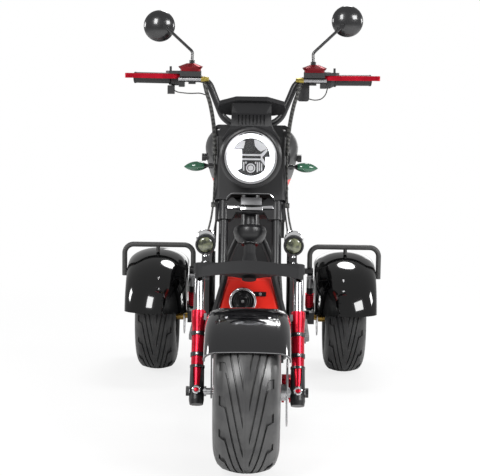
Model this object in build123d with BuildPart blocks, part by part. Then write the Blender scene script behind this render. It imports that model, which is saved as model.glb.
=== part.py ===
"""Three-wheeled electric chopper: one fat steered front wheel, two driven rear wheels.

The vehicle faces -Y, its left side is +X, and Z = 0 is the ground.
All sizes are in millimetres.
"""
from build123d import *
from math import cos, radians, sin, tan
import os

os.makedirs("parts", exist_ok=True)

# ---------------------------------------------------------------- stance
LENGTH = 1900                       # front tyre to the number plate
WHEELBASE = 1330
FRONT_RADIUS, FRONT_WIDTH = 240, 195
REAR_RADIUS, REAR_WIDTH = 203, 153.5
REAR_TRACK = 706.5                  # between the middles of the rear tyres
FRONT_Y = -LENGTH / 2 + FRONT_RADIUS
REAR_Y = FRONT_Y + WHEELBASE
REAR_X = REAR_TRACK / 2
FRONT_RIM, REAR_RIM = 152, 127      # bead radii of 12 and 10 inch rims

# ---------------------------------------------------------------- steering head
RAKE = 26                           # degrees, head axis back from upright
FORK_OFFSET = 40                    # fork legs ahead of the head axis
FORK_X = 149.5                      # each leg from the middle
STRUT_X = 81                        # each inner strut from the middle
LEG_R, STANCHION_R, STRUT_R, STEM_R = 19, 16, 14.5, 17
HEAD_TUBE_R = 27
RUN_FIT = 0.05                      # radial clearance of a shaft in its bearing
s, c = sin(radians(RAKE)), cos(radians(RAKE))
AXLE_UP = (FRONT_RADIUS - FORK_OFFSET * s) / c          # along the head axis
HEAD_Y = FRONT_Y + FORK_OFFSET * c - AXLE_UP * s        # head axis at the ground
FORK = Plane(origin=(0, HEAD_Y, 0), x_dir=(1, 0, 0), z_dir=(0, s, c))
# In FORK, x is sideways, y is back and z is up along the head axis.
CROWN_LOW, CROWN_TOP = 612, 640
BOWL_LOW, BOWL_TOP = 716, 768
LOWER_YOKE_LOW, LOWER_YOKE_TOP = 780, 848
HEAD_TUBE_TOP = 1046
TOP_YOKE_LOW, TOP_YOKE_TOP = 1059, 1083

SIDES = ((-1, "right"), (1, "left"))


def place(x, back, up):
    """World place of a point given in the fork's own directions."""
    return FORK.from_local_coords((x, back, up))


def fork_plane(x, back, up):
    """A plane square to the head axis at a point given in fork directions."""
    return Plane(origin=place(x, back, up), x_dir=(1, 0, 0), z_dir=FORK.z_dir)


def facing(x, y, z):
    """A plane that faces the front, with its own x to the left side and its y up."""
    return Plane(origin=(x, y, z), x_dir=(1, 0, 0), z_dir=(0, -1, 0))


def lying(x, y, z):
    """A level plane with its own x to the left side and its y to the front."""
    return Plane(origin=(x, y, z), x_dir=(1, 0, 0), z_dir=(0, 0, -1))


def across(x, y, z):
    """A plane square to the X axis, with its own x to the rear and its y up."""
    return Plane(origin=(x, y, z), x_dir=(0, 1, 0), z_dir=(1, 0, 0))


# ---------------------------------------------------------------- wheels
def tyre(middle, radius, rim, width, crown_drop):
    """A fat scooter tyre: round crown, soft shoulders, sidewalls down to the beads."""
    half = width / 2
    shoulder = (0.72 * half, radius - crown_drop)
    flank = (half, rim + 0.23 * (radius - rim))
    bead = (0.84 * half, rim)
    with BuildPart() as part:
        with BuildSketch(facing(*middle)):
            with BuildLine():
                ThreePointArc((-shoulder[0], shoulder[1]), (0, radius), shoulder)
                ThreePointArc(shoulder, (0.93 * half, radius - 0.46 * (radius - rim)), flank)
                ThreePointArc(flank, (0.95 * half, rim + 8), bead)
                Line(bead, (-bead[0], bead[1]))
                ThreePointArc((-bead[0], bead[1]), (-0.95 * half, rim + 8), (-flank[0], flank[1]))
                ThreePointArc((-flank[0], flank[1]), (-0.93 * half, radius - 0.46 * (radius - rim)),
                              (-shoulder[0], shoulder[1]))
            make_face()
        revolve(axis=Axis(middle, (1, 0, 0)))
    return part.part


def rim_barrel(middle, rim, width):
    """Rim barrel with a lip at each edge and a well between the bead seats."""
    half = 0.84 * width / 2
    with BuildPart() as part:
        with BuildSketch(facing(*middle)):
            with BuildLine():
                Polyline((-half, rim), (half, rim), (half + 5, rim - 1), (half + 5, rim - 9),
                         (half - 12, rim - 12), (0.45 * half, rim - 24), (-0.45 * half, rim - 24),
                         (12 - half, rim - 12), (-half - 5, rim - 9), (-half - 5, rim - 1),
                         close=True)
            make_face()
        revolve(axis=Axis(middle, (1, 0, 0)))
    return part.part


SPOKES = 5


def spokes(middle, rim, hub_r, thickness, shift):
    """Five split spokes from the hub out to the barrel."""
    with BuildPart() as part:
        with BuildSketch(across(middle[0] + shift - thickness / 2, middle[1], middle[2])):
            with PolarLocations(0, SPOKES, start_angle=90):
                with BuildLine():
                    Polyline((hub_r - 6, -22), (rim - 22, -31), (rim - 22, 31), (hub_r - 6, 22), close=True)
                make_face()
            with PolarLocations(0, SPOKES, start_angle=90):
                with BuildLine(mode=Mode.PRIVATE) as slit:
                    Polyline((hub_r + 16, 0), (rim - 34, -17), (rim - 34, 17), close=True)
                make_face(slit.edges(), mode=Mode.SUBTRACT)
        extrude(amount=thickness)
    return part.part


# Front wheel: it turns on the axle between the fork feet.
FRONT_AXLE = (0, FRONT_Y, FRONT_RADIUS)
AXLE_R = 10
FRONT_HUB_R = 38
FRONT_HUB_HALF = 98
FRONT_DISC_X, FRONT_DISC_R = 118, 100
DISC_THICK = 4

with BuildPart() as front_tyre:
    add(tyre(FRONT_AXLE, FRONT_RADIUS, FRONT_RIM, FRONT_WIDTH, 14.5))
front_tyre.part.label = "front_tyre"
export_step(front_tyre.part, "parts/front_tyre.step")

with BuildPart() as front_rim:
    add(rim_barrel(FRONT_AXLE, FRONT_RIM, FRONT_WIDTH))
    for shift in (-38, 38):
        add(spokes(FRONT_AXLE, FRONT_RIM, FRONT_HUB_R, 14, shift))
    with Locations(Location(FRONT_AXLE, (0, 90, 0))):
        Cylinder(FRONT_HUB_R, 2 * FRONT_HUB_HALF)
        Cylinder(AXLE_R + RUN_FIT, 2 * FRONT_HUB_HALF, mode=Mode.SUBTRACT)
front_rim.part.label = "front_rim"
export_step(front_rim.part, "parts/front_rim.step")


def brake_disc(middle, radius, inner, boss_r, boss_far, holes):
    """A drilled disc on a five-armed carrier, with a boss that reaches the hub."""
    x, y, z = middle
    low, high = sorted((x, boss_far))
    with BuildPart() as part:
        with BuildSketch(across(x, y, z)):
            Circle(radius)
            Circle(inner, mode=Mode.SUBTRACT)
            with PolarLocations((radius + inner) / 2, holes):
                Circle(4, mode=Mode.SUBTRACT)
            with PolarLocations(inner / 2 + boss_r / 2, SPOKES):
                Rectangle(inner - boss_r + 14, 16)
            Circle(boss_r)
        extrude(amount=DISC_THICK / 2, both=True)
        with BuildSketch(across(low, y, z)):
            Circle(boss_r)
        extrude(amount=high - low)
        with Locations(Location(((low + high) / 2, y, z), (0, 90, 0))):
            Cylinder(AXLE_R + RUN_FIT, high - low + 2 * DISC_THICK, mode=Mode.SUBTRACT)
    return part.part


with BuildPart() as front_disc:
    add(brake_disc((FRONT_DISC_X, FRONT_Y, FRONT_RADIUS), FRONT_DISC_R, 66, 24, FRONT_HUB_HALF, 15))
front_disc.part.label = "front_disc"
export_step(front_disc.part, "parts/front_disc.step")

# Rear wheels: each turns on a stub of the rear axle, its small disc on the inner side.
REAR_HUB_R, REAR_HUB_HALF = 34, 62
REAR_DISC_X, REAR_DISC_R = 251, 68
SLEEVE_R = 16
for side, name in SIDES:
    rear_middle = (side * REAR_X, REAR_Y, REAR_RADIUS)
    with BuildPart() as rear_tyre:
        add(tyre(rear_middle, REAR_RADIUS, REAR_RIM, REAR_WIDTH, 11))
    rear_tyre.part.label = f"rear_tyre_{name}"
    export_step(rear_tyre.part, f"parts/rear_tyre_{name}.step")
    with BuildPart() as rear_rim:
        add(rim_barrel(rear_middle, REAR_RIM, REAR_WIDTH))
        add(spokes(rear_middle, REAR_RIM, REAR_HUB_R, 16, side * 30))
        with Locations(Location(rear_middle, (0, 90, 0))):
            Cylinder(REAR_HUB_R, 2 * REAR_HUB_HALF)
            Cylinder(AXLE_R + RUN_FIT, 2 * REAR_HUB_HALF, mode=Mode.SUBTRACT)
    rear_rim.part.label = f"rear_rim_{name}"
    export_step(rear_rim.part, f"parts/rear_rim_{name}.step")
    with BuildPart() as rear_disc:
        add(brake_disc((side * REAR_DISC_X, REAR_Y, REAR_RADIUS), REAR_DISC_R, 44, SLEEVE_R,
                       side * (REAR_X - REAR_HUB_HALF), 10))
    rear_disc.part.label = f"rear_disc_{name}"
    export_step(rear_disc.part, f"parts/rear_disc_{name}.step")

# ---------------------------------------------------------------- main frame
TUBE_R, RAIL_R, BONE_R = 12, 12, 22
CRADLE_X = 112
CRADLE_Z = 252
SEAT_RAIL_X, SEAT_RAIL_Z = 95, 697
PIVOT_Y, PIVOT_Z = 345, 300         # swinging arm pivot
SHOCK_TOP_Y, SHOCK_TOP_Z = 560, 392  # cross bar that the shocks and fender rails hang on
CROSS_BAR_HALF = 232


def tube(points, radius, radii):
    """A round bar bent through the points."""
    with BuildPart() as part:
        with BuildLine() as path:
            if len(points) > 2:
                FilletPolyline(*points, radius=radii)
            else:
                Line(*points)
        with BuildSketch(Plane(origin=path.line @ 0, z_dir=path.line % 0)):
            Circle(radius)
        sweep()
    return part.part


with BuildPart() as main_frame:
    with BuildSketch(fork_plane(0, 0, BOWL_LOW)):
        Circle(HEAD_TUBE_R)
    extrude(amount=HEAD_TUBE_TOP - BOWL_LOW)
    with BuildSketch(Plane(origin=FORK.origin, x_dir=(1, 0, 0), z_dir=place(0, -1, 0) - FORK.origin)):
        with BuildLine():                      # the lower head cup, a bowl round the head axis
            Polyline((0, BOWL_LOW), (22, BOWL_LOW))
            ThreePointArc((22, BOWL_LOW), (43, BOWL_LOW + 17), (51, BOWL_TOP - 10))
            Polyline((51, BOWL_TOP - 10), (48, BOWL_TOP), (0, BOWL_TOP), (0, BOWL_LOW))
        make_face()
    revolve(axis=Axis(FORK.origin, FORK.z_dir))
    add(tube([place(0, 20, 905), (0, -220, 742), (0, 80, 705)], BONE_R, 120))
    for side in (-1, 1):
        add(tube([place(side * 14, 20, 800), (side * 66, -392, 590), (side * 80, -362, 512),
                  (side * 108, -352, 410), (side * CRADLE_X, -330, CRADLE_Z),
                  (side * CRADLE_X, 330, CRADLE_Z), (side * 100, 385, 420),
                  (side * SEAT_RAIL_X, 400, SEAT_RAIL_Z)], 10, [60, 60, 60, 60, 60, 120]))
        add(tube([(side * SEAT_RAIL_X, 40, SEAT_RAIL_Z), (side * SEAT_RAIL_X, 730, SEAT_RAIL_Z)],
                 RAIL_R, None))
        add(tube([(side * 100, 385, 415), (side * 100, SHOCK_TOP_Y + 4, SHOCK_TOP_Z)], RAIL_R, None))
        add(tube([(side * 98, SHOCK_TOP_Y, SHOCK_TOP_Z), (side * SEAT_RAIL_X, 425, SEAT_RAIL_Z)],
                 10, None))
    for y, z, half in ((60, SEAT_RAIL_Z, SEAT_RAIL_X), (720, SEAT_RAIL_Z, SEAT_RAIL_X),
                       (-322, CRADLE_Z, CRADLE_X), (PIVOT_Y, PIVOT_Z, CRADLE_X),
                       (SHOCK_TOP_Y, SHOCK_TOP_Z, CROSS_BAR_HALF)):
        with Locations(Location((0, y, z), (0, 90, 0))):
            Cylinder(TUBE_R, 2 * half)
    with BuildSketch(fork_plane(0, 0, BOWL_LOW)):
        Circle(STEM_R + RUN_FIT)
    extrude(amount=HEAD_TUBE_TOP - BOWL_LOW, mode=Mode.SUBTRACT)
main_frame.part.label = "main_frame"
export_step(main_frame.part, "parts/main_frame.step")

# ---------------------------------------------------------------- body on the frame
BODY_HALF = 144                     # side covers, from the middle
BOX_LOW, BOX_TOP = 264, 520
BOX_FRONT, BOX_REAR = -322, 318

# Traction battery and controller: heavy closed blocks between the frame tubes.
with BuildPart() as battery_box:
    with Locations((0, (BOX_FRONT + BOX_REAR) / 2, (BOX_LOW + BOX_TOP) / 2)):
        Box(192, BOX_REAR - BOX_FRONT, BOX_TOP - BOX_LOW - 4)
    chamfer(battery_box.edges().filter_by(Axis.X), 12)
    with Locations((0, 100, 592)):
        Box(150, 420, 170)
battery_box.part.label = "battery_box"
export_step(battery_box.part, "parts/battery_box.step")

# Front panel between the down tubes: it widens downward and bows a little forward.
PANEL_TOP_HALF, PANEL_LOW_HALF = 68, 94
PANEL_TOP_Z, PANEL_BEND_Z, PANEL_LOW_Z = 520, 415, 285
with BuildPart() as front_panel:
    with BuildSketch(facing(0, -334, 0)) as outline:
        with BuildLine():
            Polyline((-PANEL_TOP_HALF, PANEL_TOP_Z), (PANEL_TOP_HALF, PANEL_TOP_Z),
                     (PANEL_LOW_HALF, PANEL_BEND_Z), (PANEL_LOW_HALF, PANEL_LOW_Z),
                     (-PANEL_LOW_HALF, PANEL_LOW_Z), (-PANEL_LOW_HALF, PANEL_BEND_Z), close=True)
        make_face()
    extrude(amount=22)
    fillet(front_panel.edges().group_by(Axis.Y)[0], 8)
    with BuildSketch(facing(0, -334, 0)):
        offset(outline.sketch, -5)
    extrude(amount=17, mode=Mode.SUBTRACT)
front_panel.part.label = "front_panel"
export_step(front_panel.part, "parts/front_panel.step")

# Side covers of the battery bay, outside the frame cradle.
with BuildPart() as side_covers:
    for side in (-1, 1):
        with BuildSketch(across(side * (BODY_HALF - 16), 0, 0)):
            with BuildLine():
                Polyline((-322, 275), (-334, 400), (-322, 518), (-120, 524), (150, 524), (322, 500),
                         (318, 300), (290, 266), (-290, 262), close=True)
            make_face()
        extrude(amount=side * 16)
    fillet(side_covers.edges().filter_by(Axis.X), 14)
    fillet(side_covers.faces().sort_by(Axis.X)[0].edges(), 6)
    fillet(side_covers.faces().sort_by(Axis.X)[-1].edges(), 6)

# Upper covers lean in from the side covers to the tank.
with BuildPart() as upper_covers:
    for side in (-1, 1):
        with BuildSketch(facing(0, 330, 0)):
            with BuildLine():
                Polyline((side * 138, 530), (side * 113, 706), (side * 108, 706), (side * 124, 600),
                         (side * 127, 530), close=True)
            make_face()
        extrude(amount=480)
    with BuildSketch(across(0, 0, 0)):
        with BuildLine():
            Polyline((-150, 530), (-60, 715), (-170, 715), close=True)
        make_face()
        with BuildLine():
            Polyline((335, 520), (270, 715), (335, 715), close=True)
        make_face()
    extrude(amount=200, both=True, mode=Mode.SUBTRACT)
with BuildPart() as body_covers:
    add(side_covers.part)
    add(upper_covers.part)
body_covers.part.label = "body_covers"
export_step(body_covers.part, "parts/body_covers.step")

# Tank: broad flat top, fullest at two thirds of its height, narrower to the seat.
# Each section: place along Y, bottom half-width and height, waist, shoulder, top.
TANK = (
    # y, bottom half, bottom z, waist half, waist z, shoulder half, shoulder z, top z
    (-205, 84, 800, 122, 872, 104, 934, 948),
    (-110, 113, 774, 150, 896, 126, 964, 980),
    (10, 104, 762, 138, 872, 108, 938, 955),
    (122, 88, 752, 104, 818, 78, 872, 884),
)
TANK_SEAM_Z = 812
KNOB_Y, KNOB_Z, KNOB_R = -110, 878, 12.5
with BuildPart() as tank_whole:
    for y, low_half, low_z, waist, waist_z, shoulder, shoulder_z, top_z in TANK:
        with BuildSketch(facing(0, y, 0)):
            with BuildLine():
                flank = ((low_half + 2 * waist) / 3, (low_z + waist_z) / 2)
                brow = ((waist + shoulder) / 2 + 7, (waist_z + shoulder_z) / 2 + 9)
                Line((-low_half, low_z), (low_half, low_z))
                ThreePointArc((low_half, low_z), flank, (waist, waist_z))
                ThreePointArc((waist, waist_z), brow, (shoulder, shoulder_z))
                ThreePointArc((shoulder, shoulder_z), (0, top_z), (-shoulder, shoulder_z))
                ThreePointArc((-shoulder, shoulder_z), (-brow[0], brow[1]), (-waist, waist_z))
                ThreePointArc((-waist, waist_z), (-flank[0], flank[1]), (-low_half, low_z))
            make_face()
    loft()
with BuildPart() as tank:
    add(tank_whole.part)
    split(bisect_by=Plane.XY.offset(TANK_SEAM_Z), keep=Keep.TOP)
    for side in (-1, 1):                       # round knob of the catch on each flank
        with BuildSketch(across(side * 140, KNOB_Y, KNOB_Z)):
            Circle(KNOB_R - 3)
        extrude(amount=side * 14)
        with BuildSketch(across(side * 150, KNOB_Y, KNOB_Z)):
            Circle(KNOB_R)
        extrude(amount=side * 13)
tank.part.label = "tank"
export_step(tank.part, "parts/tank.step")
with BuildPart() as tank_base:
    add(tank_whole.part)
    split(bisect_by=Plane.XY.offset(TANK_SEAM_Z), keep=Keep.BOTTOM)
tank_base.part.label = "tank_base"
export_step(tank_base.part, "parts/tank_base.step")

# Seat: rider's dip, then a step up to the pillion place.
SEAT_PAN_Z = 712
with BuildPart() as seat:
    with BuildSketch(across(0, 0, 0)):
        with BuildLine():
            Polyline((128, SEAT_PAN_Z), (128, 800), (150, 806))
            ThreePointArc((150, 806), (265, 765), (388, 792))
            Polyline((388, 792), (420, 826), (690, 836), (704, 770), (660, SEAT_PAN_Z),
                     (128, SEAT_PAN_Z))
        make_face()
    extrude(amount=140, both=True)
    with BuildSketch(Plane.XY.offset(SEAT_PAN_Z)):
        with BuildLine():
            Polyline((-84, 120), (84, 120), (138, 300), (138, 620), (104, 710), (-104, 710),
                     (-138, 620), (-138, 300), close=True)
        make_face()
    extrude(amount=150, mode=Mode.INTERSECT)
    fillet(seat.edges().group_by(Axis.Z)[-1], 10)
seat.part.label = "seat"
export_step(seat.part, "parts/seat.step")

# Backrest pad on a bent hoop that rises from the seat rails.
with BuildPart() as backrest_hoop:
    add(tube([(-SEAT_RAIL_X, 741, SEAT_RAIL_Z + 10), (-SEAT_RAIL_X, 748, 760), (-80, 766, 905),
              (80, 766, 905), (SEAT_RAIL_X, 748, 760), (SEAT_RAIL_X, 741, SEAT_RAIL_Z + 10)],
             8, [40, 45, 45, 40]))
backrest_hoop.part.label = "backrest_hoop"
export_step(backrest_hoop.part, "parts/backrest_hoop.step")
with BuildPart() as backrest_pad:
    with BuildSketch(Plane(origin=(0, 748, 845), x_dir=(1, 0, 0), z_dir=(0, -1, 0.12))):
        RectangleRounded(190, 106, 30)
    extrude(amount=34)
    fillet(backrest_pad.faces().sort_by(Axis.Y)[0].edges(), 14)
backrest_pad.part.label = "backrest_pad"
export_step(backrest_pad.part, "parts/backrest_pad.step")

# Tail cover under the seat, with the lamp and the plate arm on its rear end.
with BuildPart() as tail_cover:
    with BuildSketch(across(0, 0, 0)):
        with BuildLine():
            Polyline((524, 520), (453, 680), (760, 680), (840, 700), (852, 640), (800, 575),
                     (700, 530), close=True)
        make_face()
    extrude(amount=120, both=True)
tail_cover.part.label = "tail_cover"
export_step(tail_cover.part, "parts/tail_cover.step")

# Tail lamp in the rear end of the tail cover.
LAMP_Y, LAMP_Z = 846, 672
with BuildPart() as tail_lamp:
    with BuildSketch(Plane(origin=(0, LAMP_Y, LAMP_Z), x_dir=(-1, 0, 0), z_dir=(0, 1, 0.2))):
        RectangleRounded(150, 44, 18)
    extrude(amount=20)
    fillet(tail_lamp.faces().sort_by(Axis.Y)[-1].edges(), 7)
tail_lamp.part.label = "tail_lamp"
export_step(tail_lamp.part, "parts/tail_lamp.step")

# ---------------------------------------------------------------- rear axle
ARM_X = 83                          # swinging arm beams, from the middle
MOTOR_R, MOTOR_HALF = 92, 70
BLOCK_NEAR, BLOCK_FAR = 221, 240
STUB_END = REAR_X + REAR_HUB_HALF + 14
REAR_AXLE = (0, REAR_Y, REAR_RADIUS)

# Swinging arm: a pivot tube, two box arms and the axle tube they carry.
with BuildPart() as swing_arm:
    with Locations(Location((0, PIVOT_Y, PIVOT_Z), (0, 90, 0))):
        Cylinder(20, 180)
    for side in (-1, 1):
        with BuildSketch(across(side * (ARM_X - 9), 0, 0)):
            with BuildLine():
                Polyline((PIVOT_Y, PIVOT_Z + 20), (REAR_Y + 10, REAR_RADIUS + 26), (REAR_Y + 10, REAR_RADIUS - 26),
                         (PIVOT_Y, PIVOT_Z - 20), close=True)
            make_face()
        extrude(amount=side * 18)
    with Locations(Location(REAR_AXLE, (0, 90, 0))):
        Cylinder(26, 2 * BLOCK_NEAR)
    with Locations(Location((0, PIVOT_Y, PIVOT_Z), (0, 90, 0))):
        Cylinder(TUBE_R + 0.1, 200, mode=Mode.SUBTRACT)
    with Locations(Location(REAR_AXLE, (0, 90, 0))):
        Cylinder(MOTOR_R, 2 * MOTOR_HALF, mode=Mode.SUBTRACT)
swing_arm.part.label = "swing_arm"
export_step(swing_arm.part, "parts/swing_arm.step")

# Motor with its differential on the axle, finned round the middle.
with BuildPart() as drive_motor:
    with BuildSketch(facing(*REAR_AXLE)):
        with BuildLine():
            Polyline((-MOTOR_HALF, 0), (-MOTOR_HALF, MOTOR_R - 18), (-MOTOR_HALF + 14, MOTOR_R - 2),
                     (MOTOR_HALF - 14, MOTOR_R - 2), (MOTOR_HALF, MOTOR_R - 18), (MOTOR_HALF, 0), close=True)
        make_face()
    revolve(axis=Axis(REAR_AXLE, (1, 0, 0)))
    with BuildSketch(facing(*REAR_AXLE)):
        with GridLocations(14, 1, 7, 1):
            with Locations((0, MOTOR_R - 4)):
                Rectangle(5, 10)
    revolve(axis=Axis(REAR_AXLE, (1, 0, 0)), mode=Mode.SUBTRACT)
drive_motor.part.label = "drive_motor"
export_step(drive_motor.part, "parts/drive_motor.step")

# Axle ends: a bearing block, a stub through the wheel and its nut on each side.
with BuildPart() as axle_ends:
    for side in (-1, 1):
        with Locations((side * (BLOCK_NEAR + BLOCK_FAR) / 2, REAR_Y, REAR_RADIUS)):
            Box(BLOCK_FAR - BLOCK_NEAR, 46, 44)
        with Locations(Location((side * (BLOCK_NEAR + STUB_END) / 2, REAR_Y, REAR_RADIUS), (0, 90, 0))):
            Cylinder(AXLE_R, STUB_END - BLOCK_NEAR)
        with BuildSketch(across(side * (REAR_X + REAR_HUB_HALF + 1), REAR_Y, REAR_RADIUS)):
            RegularPolygon(17, 6)
        extrude(amount=side * 12)
axle_ends.part.label = "axle_ends"
export_step(axle_ends.part, "parts/axle_ends.step")

# Rear shock absorbers: grey upper tube, red coil spring over the rod.
SHOCK_X = 221
SHOCK_LOW = Vector(SHOCK_X, 612, REAR_RADIUS + 38)
SHOCK_HIGH = Vector(SHOCK_X, SHOCK_TOP_Y, SHOCK_TOP_Z - 24)


def shock_plane(side, share):
    """Plane square to a shock, at a share of the way from its lower eye to its top."""
    low, high = SHOCK_LOW, SHOCK_HIGH
    spot = low + (high - low) * share
    return Plane(origin=(side * spot.X, spot.Y, spot.Z), x_dir=(1, 0, 0), z_dir=high - low)


SHOCK_LENGTH = (SHOCK_HIGH - SHOCK_LOW).length
with BuildPart() as shock_bodies:
    for side in (-1, 1):
        for share, reach, radius in ((0, SHOCK_LENGTH, 6), (0.0, 10, 15), (0.50, 0.5 * SHOCK_LENGTH, 13)):
            with BuildSketch(shock_plane(side, share)):
                Circle(radius)
            extrude(amount=reach)
        for spot, eye in ((SHOCK_LOW, 10), (SHOCK_HIGH, 12)):
            with Locations(Location((side * spot.X, spot.Y, spot.Z), (0, 90, 0))):
                Cylinder(eye, 22)
shock_bodies.part.label = "shock_bodies"
export_step(shock_bodies.part, "parts/shock_bodies.step")

SPRING_TURNS = 6
with BuildPart() as shock_springs:
    for side in (-1, 1):
        for turn in range(SPRING_TURNS):
            with BuildSketch(shock_plane(side, 0.09 + 0.4 * turn / SPRING_TURNS)):
                Circle(16.5)
                Circle(9, mode=Mode.SUBTRACT)
            extrude(amount=0.2 * SHOCK_LENGTH / SPRING_TURNS)
            with BuildSketch(shock_plane(side, 0.09 + 0.4 * (turn + 0.5) / SPRING_TURNS)):
                Circle(11)
                Circle(9, mode=Mode.SUBTRACT)
            extrude(amount=0.2 * SHOCK_LENGTH / SPRING_TURNS)
shock_springs.part.label = "shock_springs"
export_step(shock_springs.part, "parts/shock_springs.step")

# ---------------------------------------------------------------- rear fenders and rails
FENDER_X = 350
FENDER_HALF, FENDER_R, FENDER_RISE, FENDER_SKIRT, FENDER_WALL = 115, 258, 60, 160, 4
FENDER_CUT_Z = 256
GUARD_R, GUARD_Y, GUARD_Z = 9.5, 560, 484
GUARD_NEAR, GUARD_FAR, GUARD_END_Z = 218, 475, 366


def fender_section(half, crest, rise, skirt):
    """Arch section of a fender: half an ellipse on two straight skirts."""
    with BuildSketch() as section:
        with BuildLine():
            EllipticalCenterArc((0, crest - rise), half, rise, start_angle=0, arc_size=180)
            Polyline((-half, crest - rise), (-half, skirt), (half, skirt), (half, crest - rise))
        make_face()
    return section.sketch


with BuildPart() as rear_fenders:
    for side in (-1, 1):
        middle = (side * FENDER_X, REAR_Y, REAR_RADIUS)
        with BuildSketch(facing(*middle)):
            add(fender_section(FENDER_HALF, FENDER_R, FENDER_RISE, FENDER_SKIRT))
        revolve(axis=Axis(middle, (1, 0, 0)))
    for side in (-1, 1):
        middle = (side * FENDER_X, REAR_Y, REAR_RADIUS)
        with BuildSketch(facing(*middle)):
            add(fender_section(FENDER_HALF - FENDER_WALL, FENDER_R - FENDER_WALL, FENDER_RISE - 1, FENDER_SKIRT - 1))
        revolve(axis=Axis(middle, (1, 0, 0)), mode=Mode.SUBTRACT)
    split(bisect_by=Plane.XY.offset(FENDER_CUT_Z), keep=Keep.TOP)
rear_fenders.part.label = "rear_fenders"
export_step(rear_fenders.part, "parts/rear_fenders.step")

# Bent rail over each fender, from the shocks' cross bar to a pad on the fender's outer side.
GUARD_PAD = 9.5
with BuildPart() as fender_rails:
    for side in (-1, 1):
        add(tube([(side * GUARD_NEAR, GUARD_Y, SHOCK_TOP_Z + TUBE_R), (side * GUARD_NEAR, GUARD_Y, GUARD_Z),
                  (side * GUARD_FAR, GUARD_Y, GUARD_Z), (side * GUARD_FAR, GUARD_Y, GUARD_END_Z)],
                 GUARD_R, [34, 34]))
        with Locations((side * FENDER_X, GUARD_Y, GUARD_Z)):
            Cylinder(7, 27.5, align=(Align.CENTER, Align.CENTER, Align.MAX))
        with BuildSketch(across(side * (FENDER_X + FENDER_HALF), GUARD_Y, GUARD_END_Z + 12)):
            Circle(7)
        extrude(amount=side * GUARD_PAD)
fender_rails.part.label = "fender_rails"
export_step(fender_rails.part, "parts/fender_rails.step")

# ---------------------------------------------------------------- rear calipers, footboards, horn
with BuildPart() as rear_calipers:
    for side in (-1, 1):
        with Locations((side * REAR_DISC_X, REAR_Y + 66, REAR_RADIUS + 14)):
            Box(30, 40, 54)
        with Locations(Location((side * REAR_DISC_X, REAR_Y, REAR_RADIUS), (0, 90, 0))):
            Cylinder(REAR_DISC_R + 5, DISC_THICK + 10, mode=Mode.SUBTRACT)
        with Locations((side * (BLOCK_FAR + 2), REAR_Y + 38, REAR_RADIUS + 10)):
            Box(4, 48, 26)
rear_calipers.part.label = "rear_calipers"
export_step(rear_calipers.part, "parts/rear_calipers.step")

BOARD_NEAR, BOARD_FAR, BOARD_Z = 146, 197, 290
with BuildPart() as footboards:
    for side in (-1, 1):
        with BuildSketch(Plane.XY.offset(BOARD_Z)):
            with Locations((side * (BOARD_NEAR + BOARD_FAR) / 2, -70)):
                RectangleRounded(BOARD_FAR - BOARD_NEAR, 320, 20)
        extrude(amount=14)
        with BuildSketch(Plane.XY.offset(BOARD_Z + 10)):
            with Locations((side * (BOARD_NEAR + BOARD_FAR) / 2, -70)):
                with GridLocations(1, 26, 1, 10):
                    Rectangle(34, 10)
        extrude(amount=6, mode=Mode.SUBTRACT)
        for y in (-160, 20):
            with Locations((side * (BODY_HALF + BOARD_FAR - 10) / 2, y, 281)):
                Box(BOARD_FAR - 10 - BODY_HALF, 22, 18)
footboards.part.label = "footboards"
export_step(footboards.part, "parts/footboards.step")

HORN_X, HORN_Y, HORN_Z, HORN_R = -20, -366, 452, 43.5
with BuildPart() as horn:
    with BuildSketch(facing(0, HORN_Y, 0)):
        with Locations((HORN_X, HORN_Z)):
            Circle(HORN_R - 5)
    extrude(amount=14)
    with BuildSketch(facing(0, HORN_Y - 14, 0)):
        with Locations((HORN_X, HORN_Z)):
            Circle(HORN_R)
    extrude(amount=10)
    fillet(horn.edges().group_by(Axis.Y)[0], 4)
    with BuildSketch(facing(0, HORN_Y - 24, 0)):
        with Locations((HORN_X, HORN_Z)):
            Circle(HORN_R - 9)
    extrude(amount=-6, mode=Mode.SUBTRACT)
    with BuildSketch(facing(0, HORN_Y - 24, 0)):
        with Locations((HORN_X, HORN_Z)):
            Circle(12)
    extrude(amount=-8)
    with Locations((HORN_X, -361, HORN_Z)):
        Box(20, 10, 20)
    with Locations((HORN_X + 30, -358, HORN_Z + 18)):
        Box(86, 4, 14)
    with Locations((HORN_X, -358, HORN_Z + 14)):
        Box(20, 4, 22)
horn.part.label = "horn"
export_step(horn.part, "parts/horn.step")

# Arm and bracket behind the tail cover that hold the blank number plate and the rear signals.
PLATE_Y = LENGTH / 2
PLATE_Z, PLATE_W, PLATE_H = 470, 200, 140
PLATE_HOLE_X, PLATE_HOLE_Z, PLATE_HOLE_R = 160, 90, 3.25
REAR_SIGNAL_Y, REAR_SIGNAL_Z, REAR_SIGNAL_NEAR, REAR_SIGNAL_FAR = PLATE_Y - 70, 525, 58, 120
with BuildPart() as plate_arm:
    with BuildSketch(across(0, 0, 0)):
        with BuildLine():
            Polyline((788, 558), (812, 586), (PLATE_Y - 6, 500), (PLATE_Y - 6, 430), (PLATE_Y - 14, 430),
                     (PLATE_Y - 20, 482), close=True)
        make_face()
    extrude(amount=30, both=True)
    with BuildSketch(facing(0, PLATE_Y, PLATE_Z)):
        RectangleRounded(PLATE_W, PLATE_H, 10)
        with GridLocations(PLATE_HOLE_X, PLATE_HOLE_Z, 2, 2):
            Circle(PLATE_HOLE_R, mode=Mode.SUBTRACT)
    extrude(amount=6)
    with Locations(Location((0, REAR_SIGNAL_Y, REAR_SIGNAL_Z), (0, 90, 0))):
        Cylinder(6, 2 * REAR_SIGNAL_NEAR - 1)
plate_arm.part.label = "plate_arm"
export_step(plate_arm.part, "parts/plate_arm.step")


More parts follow.
